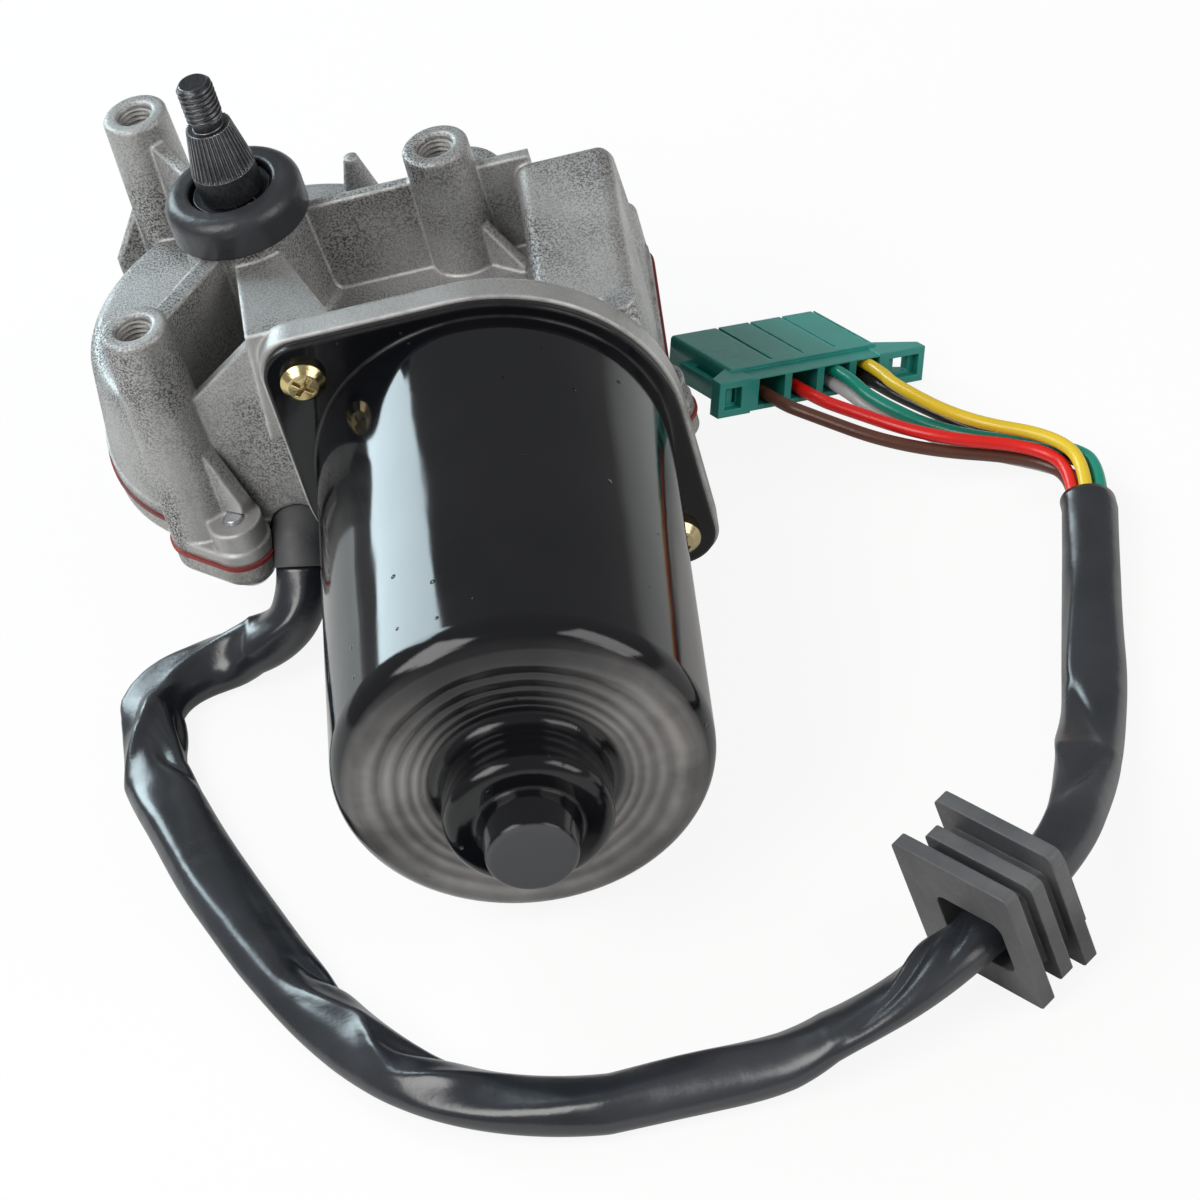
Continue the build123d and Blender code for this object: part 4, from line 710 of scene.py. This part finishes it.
# ---- wires ----
# Six stranded wires in smooth vinyl, each from the mouth of the sleeve to its own cavity.
wire_d = 2.9 * mm
wire_looks = {
    "brown": ((0.085, 0.030, 0.018), (0.140, 0.052, 0.032), "brown_wire"),
    "red": ((0.64, 0.012, 0.010), (0.86, 0.020, 0.016), "red_wire"),
    "green": ((0.004, 0.200, 0.140), (0.008, 0.300, 0.210), "green_wire"),
    "yellow": ((0.68, 0.46, 0.018), (0.86, 0.62, 0.035), "yellow_wire"),
    "white": ((0.50, 0.50, 0.50), (0.66, 0.66, 0.65), "white_wire"),
    "black": ((0.022, 0.020, 0.022), (0.045, 0.040, 0.044), "black_wire"),
}
wire_routes = {
    "brown": ((160.66, -76.92, -81.8), (163.13, -62.13, -81.8), (157.67, -52.03, -80.98),
              (128.75, -47.79, -73.02), (108.23, -35.93, -65.64),
              (105.32, -33.15, -65.35), (100.66, -25.51, -66.27)),
    "red": ((160.66, -76.92, -78.5), (163.13, -62.13, -78.5), (157.67, -52.03, -77.55),
            (134.7, -48.15, -71.16), (116.56, -33.5, -69.08),
            (112.37, -29.28, -68.92), (107.71, -21.63, -69.84)),
    "green": ((166.3, -77.86, -78.5), (168.77, -63.07, -78.5), (165, -53.25, -78.33),
              (139.03, -40.29, -78.65), (123.81, -30.83, -71.27),
              (120.41, -24.44, -69.5), (115.75, -16.8, -70.41)),
    "yellow": ((163.48, -77.39, -76.85), (165.95, -62.6, -76.85), (161.33, -52.64, -74.89),
               (142.76, -44.2, -72.12), (129.39, -27.03, -72),
               (127.46, -20.57, -73.07), (122.8, -12.93, -73.99)),
    "white": ((163.48, -77.39, -83.45), (165.95, -62.6, -83.45), (161.33, -52.64, -84.43),
              (141.22, -40.93, -82.72), (123.09, -30.54, -74.8),
              (119.42, -25.41, -72.5), (114.76, -17.76, -73.41)),
    "black": ((166.3, -77.86, -81.8), (168.77, -63.07, -81.8), (165, -53.25, -81.7),
              (147.4, -40.83, -81.27), (130.04, -25.9, -76.61),
              (126.47, -21.53, -76.07), (121.81, -13.89, -76.98)),
}


def wire_vinyl(name, dark, pale):
    material, tree, shader = new_material(name + " vinyl", Specular_IOR_Level=0.5)
    grain = use_group(tree, grain_group, Scale=700.0, Contrast=1.2)
    colour = mixed(tree, grain["Blotch"], dark, pale)
    smudge = [value * 0.45 + 0.01 for value in dark]
    colour = mixed(tree, ranged(tree, grain["Speckle"], 0.0, 0.25, 0.3, 0.0), colour, smudge)
    set_looks(tree, shader, colour, ranged(tree, grain["Blotch"], 0.0, 1.0, 0.26, 0.36),
              bumped(tree, grain["Height"], 0.00005))
    return material


for name, route in wire_routes.items():
    dark, pale, slot_name = wire_looks[name]
    wire = draw_route(name + "_wire", route)
    wire.data.bevel_depth = wire_d / 2
    wire.data.bevel_resolution = 5
    wire.data.use_fill_caps = True
    wire.data.materials.append(wire_vinyl(name, dark, pale))
    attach(wire, "housing")
    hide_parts("wire_" + name)

# ---- floor and light ----
# Pale table and an even white room, both seen whiter than they light the motor, and three soft boxes:
# one high in front on the left, one on the right, and a cool one behind the can that its side mirrors.
floor_size = 10.0
floor_z = -85.85 * mm
white_to_camera = 0.90
white_in_gloss = 0.20
room_light = 0.30
floor, tree, shader = new_material("pale table", Roughness=0.9)
shader["Base Color"].default_value = (0.80, 0.79, 0.77, 1.0)
paths = add_node(tree, "ShaderNodeLightPath").outputs
glow = add_node(tree, "ShaderNodeEmission", {"Color": (1, 1, 1, 1), "Strength": 1.0}).outputs[0]
whiteness = worked_out(tree, "ADD", scaled(tree, paths["Is Camera Ray"], white_to_camera),
                       scaled(tree, paths["Is Glossy Ray"], white_in_gloss))
blend = add_node(tree, "ShaderNodeMixShader", {0: whiteness})
tree.links.new(tree.nodes["Principled BSDF"].outputs[0], blend.inputs[1])
tree.links.new(glow, blend.inputs[2])
tree.links.new(blend.outputs[0], tree.nodes["Material Output"].inputs["Surface"])
half = floor_size / 2
table = mesh_piece("table", [(-half, -half, floor_z), (half, -half, floor_z), (half, half, floor_z),
                             (-half, half, floor_z)], [(0, 1, 2, 3)], floor)

world = bpy.data.worlds.new("room")
bpy.context.scene.world = world
world.use_nodes = True
tree = world.node_tree
ground = tree.nodes["Background"]
ground.inputs["Color"].default_value = (1, 1, 1, 1)
paths = add_node(tree, "ShaderNodeLightPath").outputs
strength = ranged(tree, paths["Is Camera Ray"], 0.0, 1.0, room_light, 1.0)
tree.links.new(strength, ground.inputs["Strength"])


def soft_box(name, place, aim, size, power, tint):
    """Rectangular lamp that faces its aim."""
    lamp = bpy.data.lights.new(name, "AREA")
    lamp.shape = "RECTANGLE"
    lamp.size, lamp.size_y = size
    lamp.energy = power
    lamp.color = tint
    box = bpy.data.objects.new(name, lamp)
    bpy.context.scene.collection.objects.link(box)
    box.location = place
    box.rotation_euler = (Vector(aim) - Vector(place)).to_track_quat("-Z", "Y").to_euler()


soft_box("key light", (-0.60, -0.55, 0.95), (0.03, -0.05, -0.05), (0.8, 0.8), 11.0, (1.0, 0.99, 0.98))
soft_box("side light", (1.0, -0.55, 0.55), (0.05, -0.08, -0.05), (0.6, 0.8), 5.4, (1.0, 0.985, 0.97))
soft_box("strip light", (-0.56, 0.68, 0.49), (0.03, -0.1, -0.01), (0.34, 0.75), 7.6, (0.76, 0.93, 1.0))

bpy.context.scene.view_settings.view_transform = "Standard"
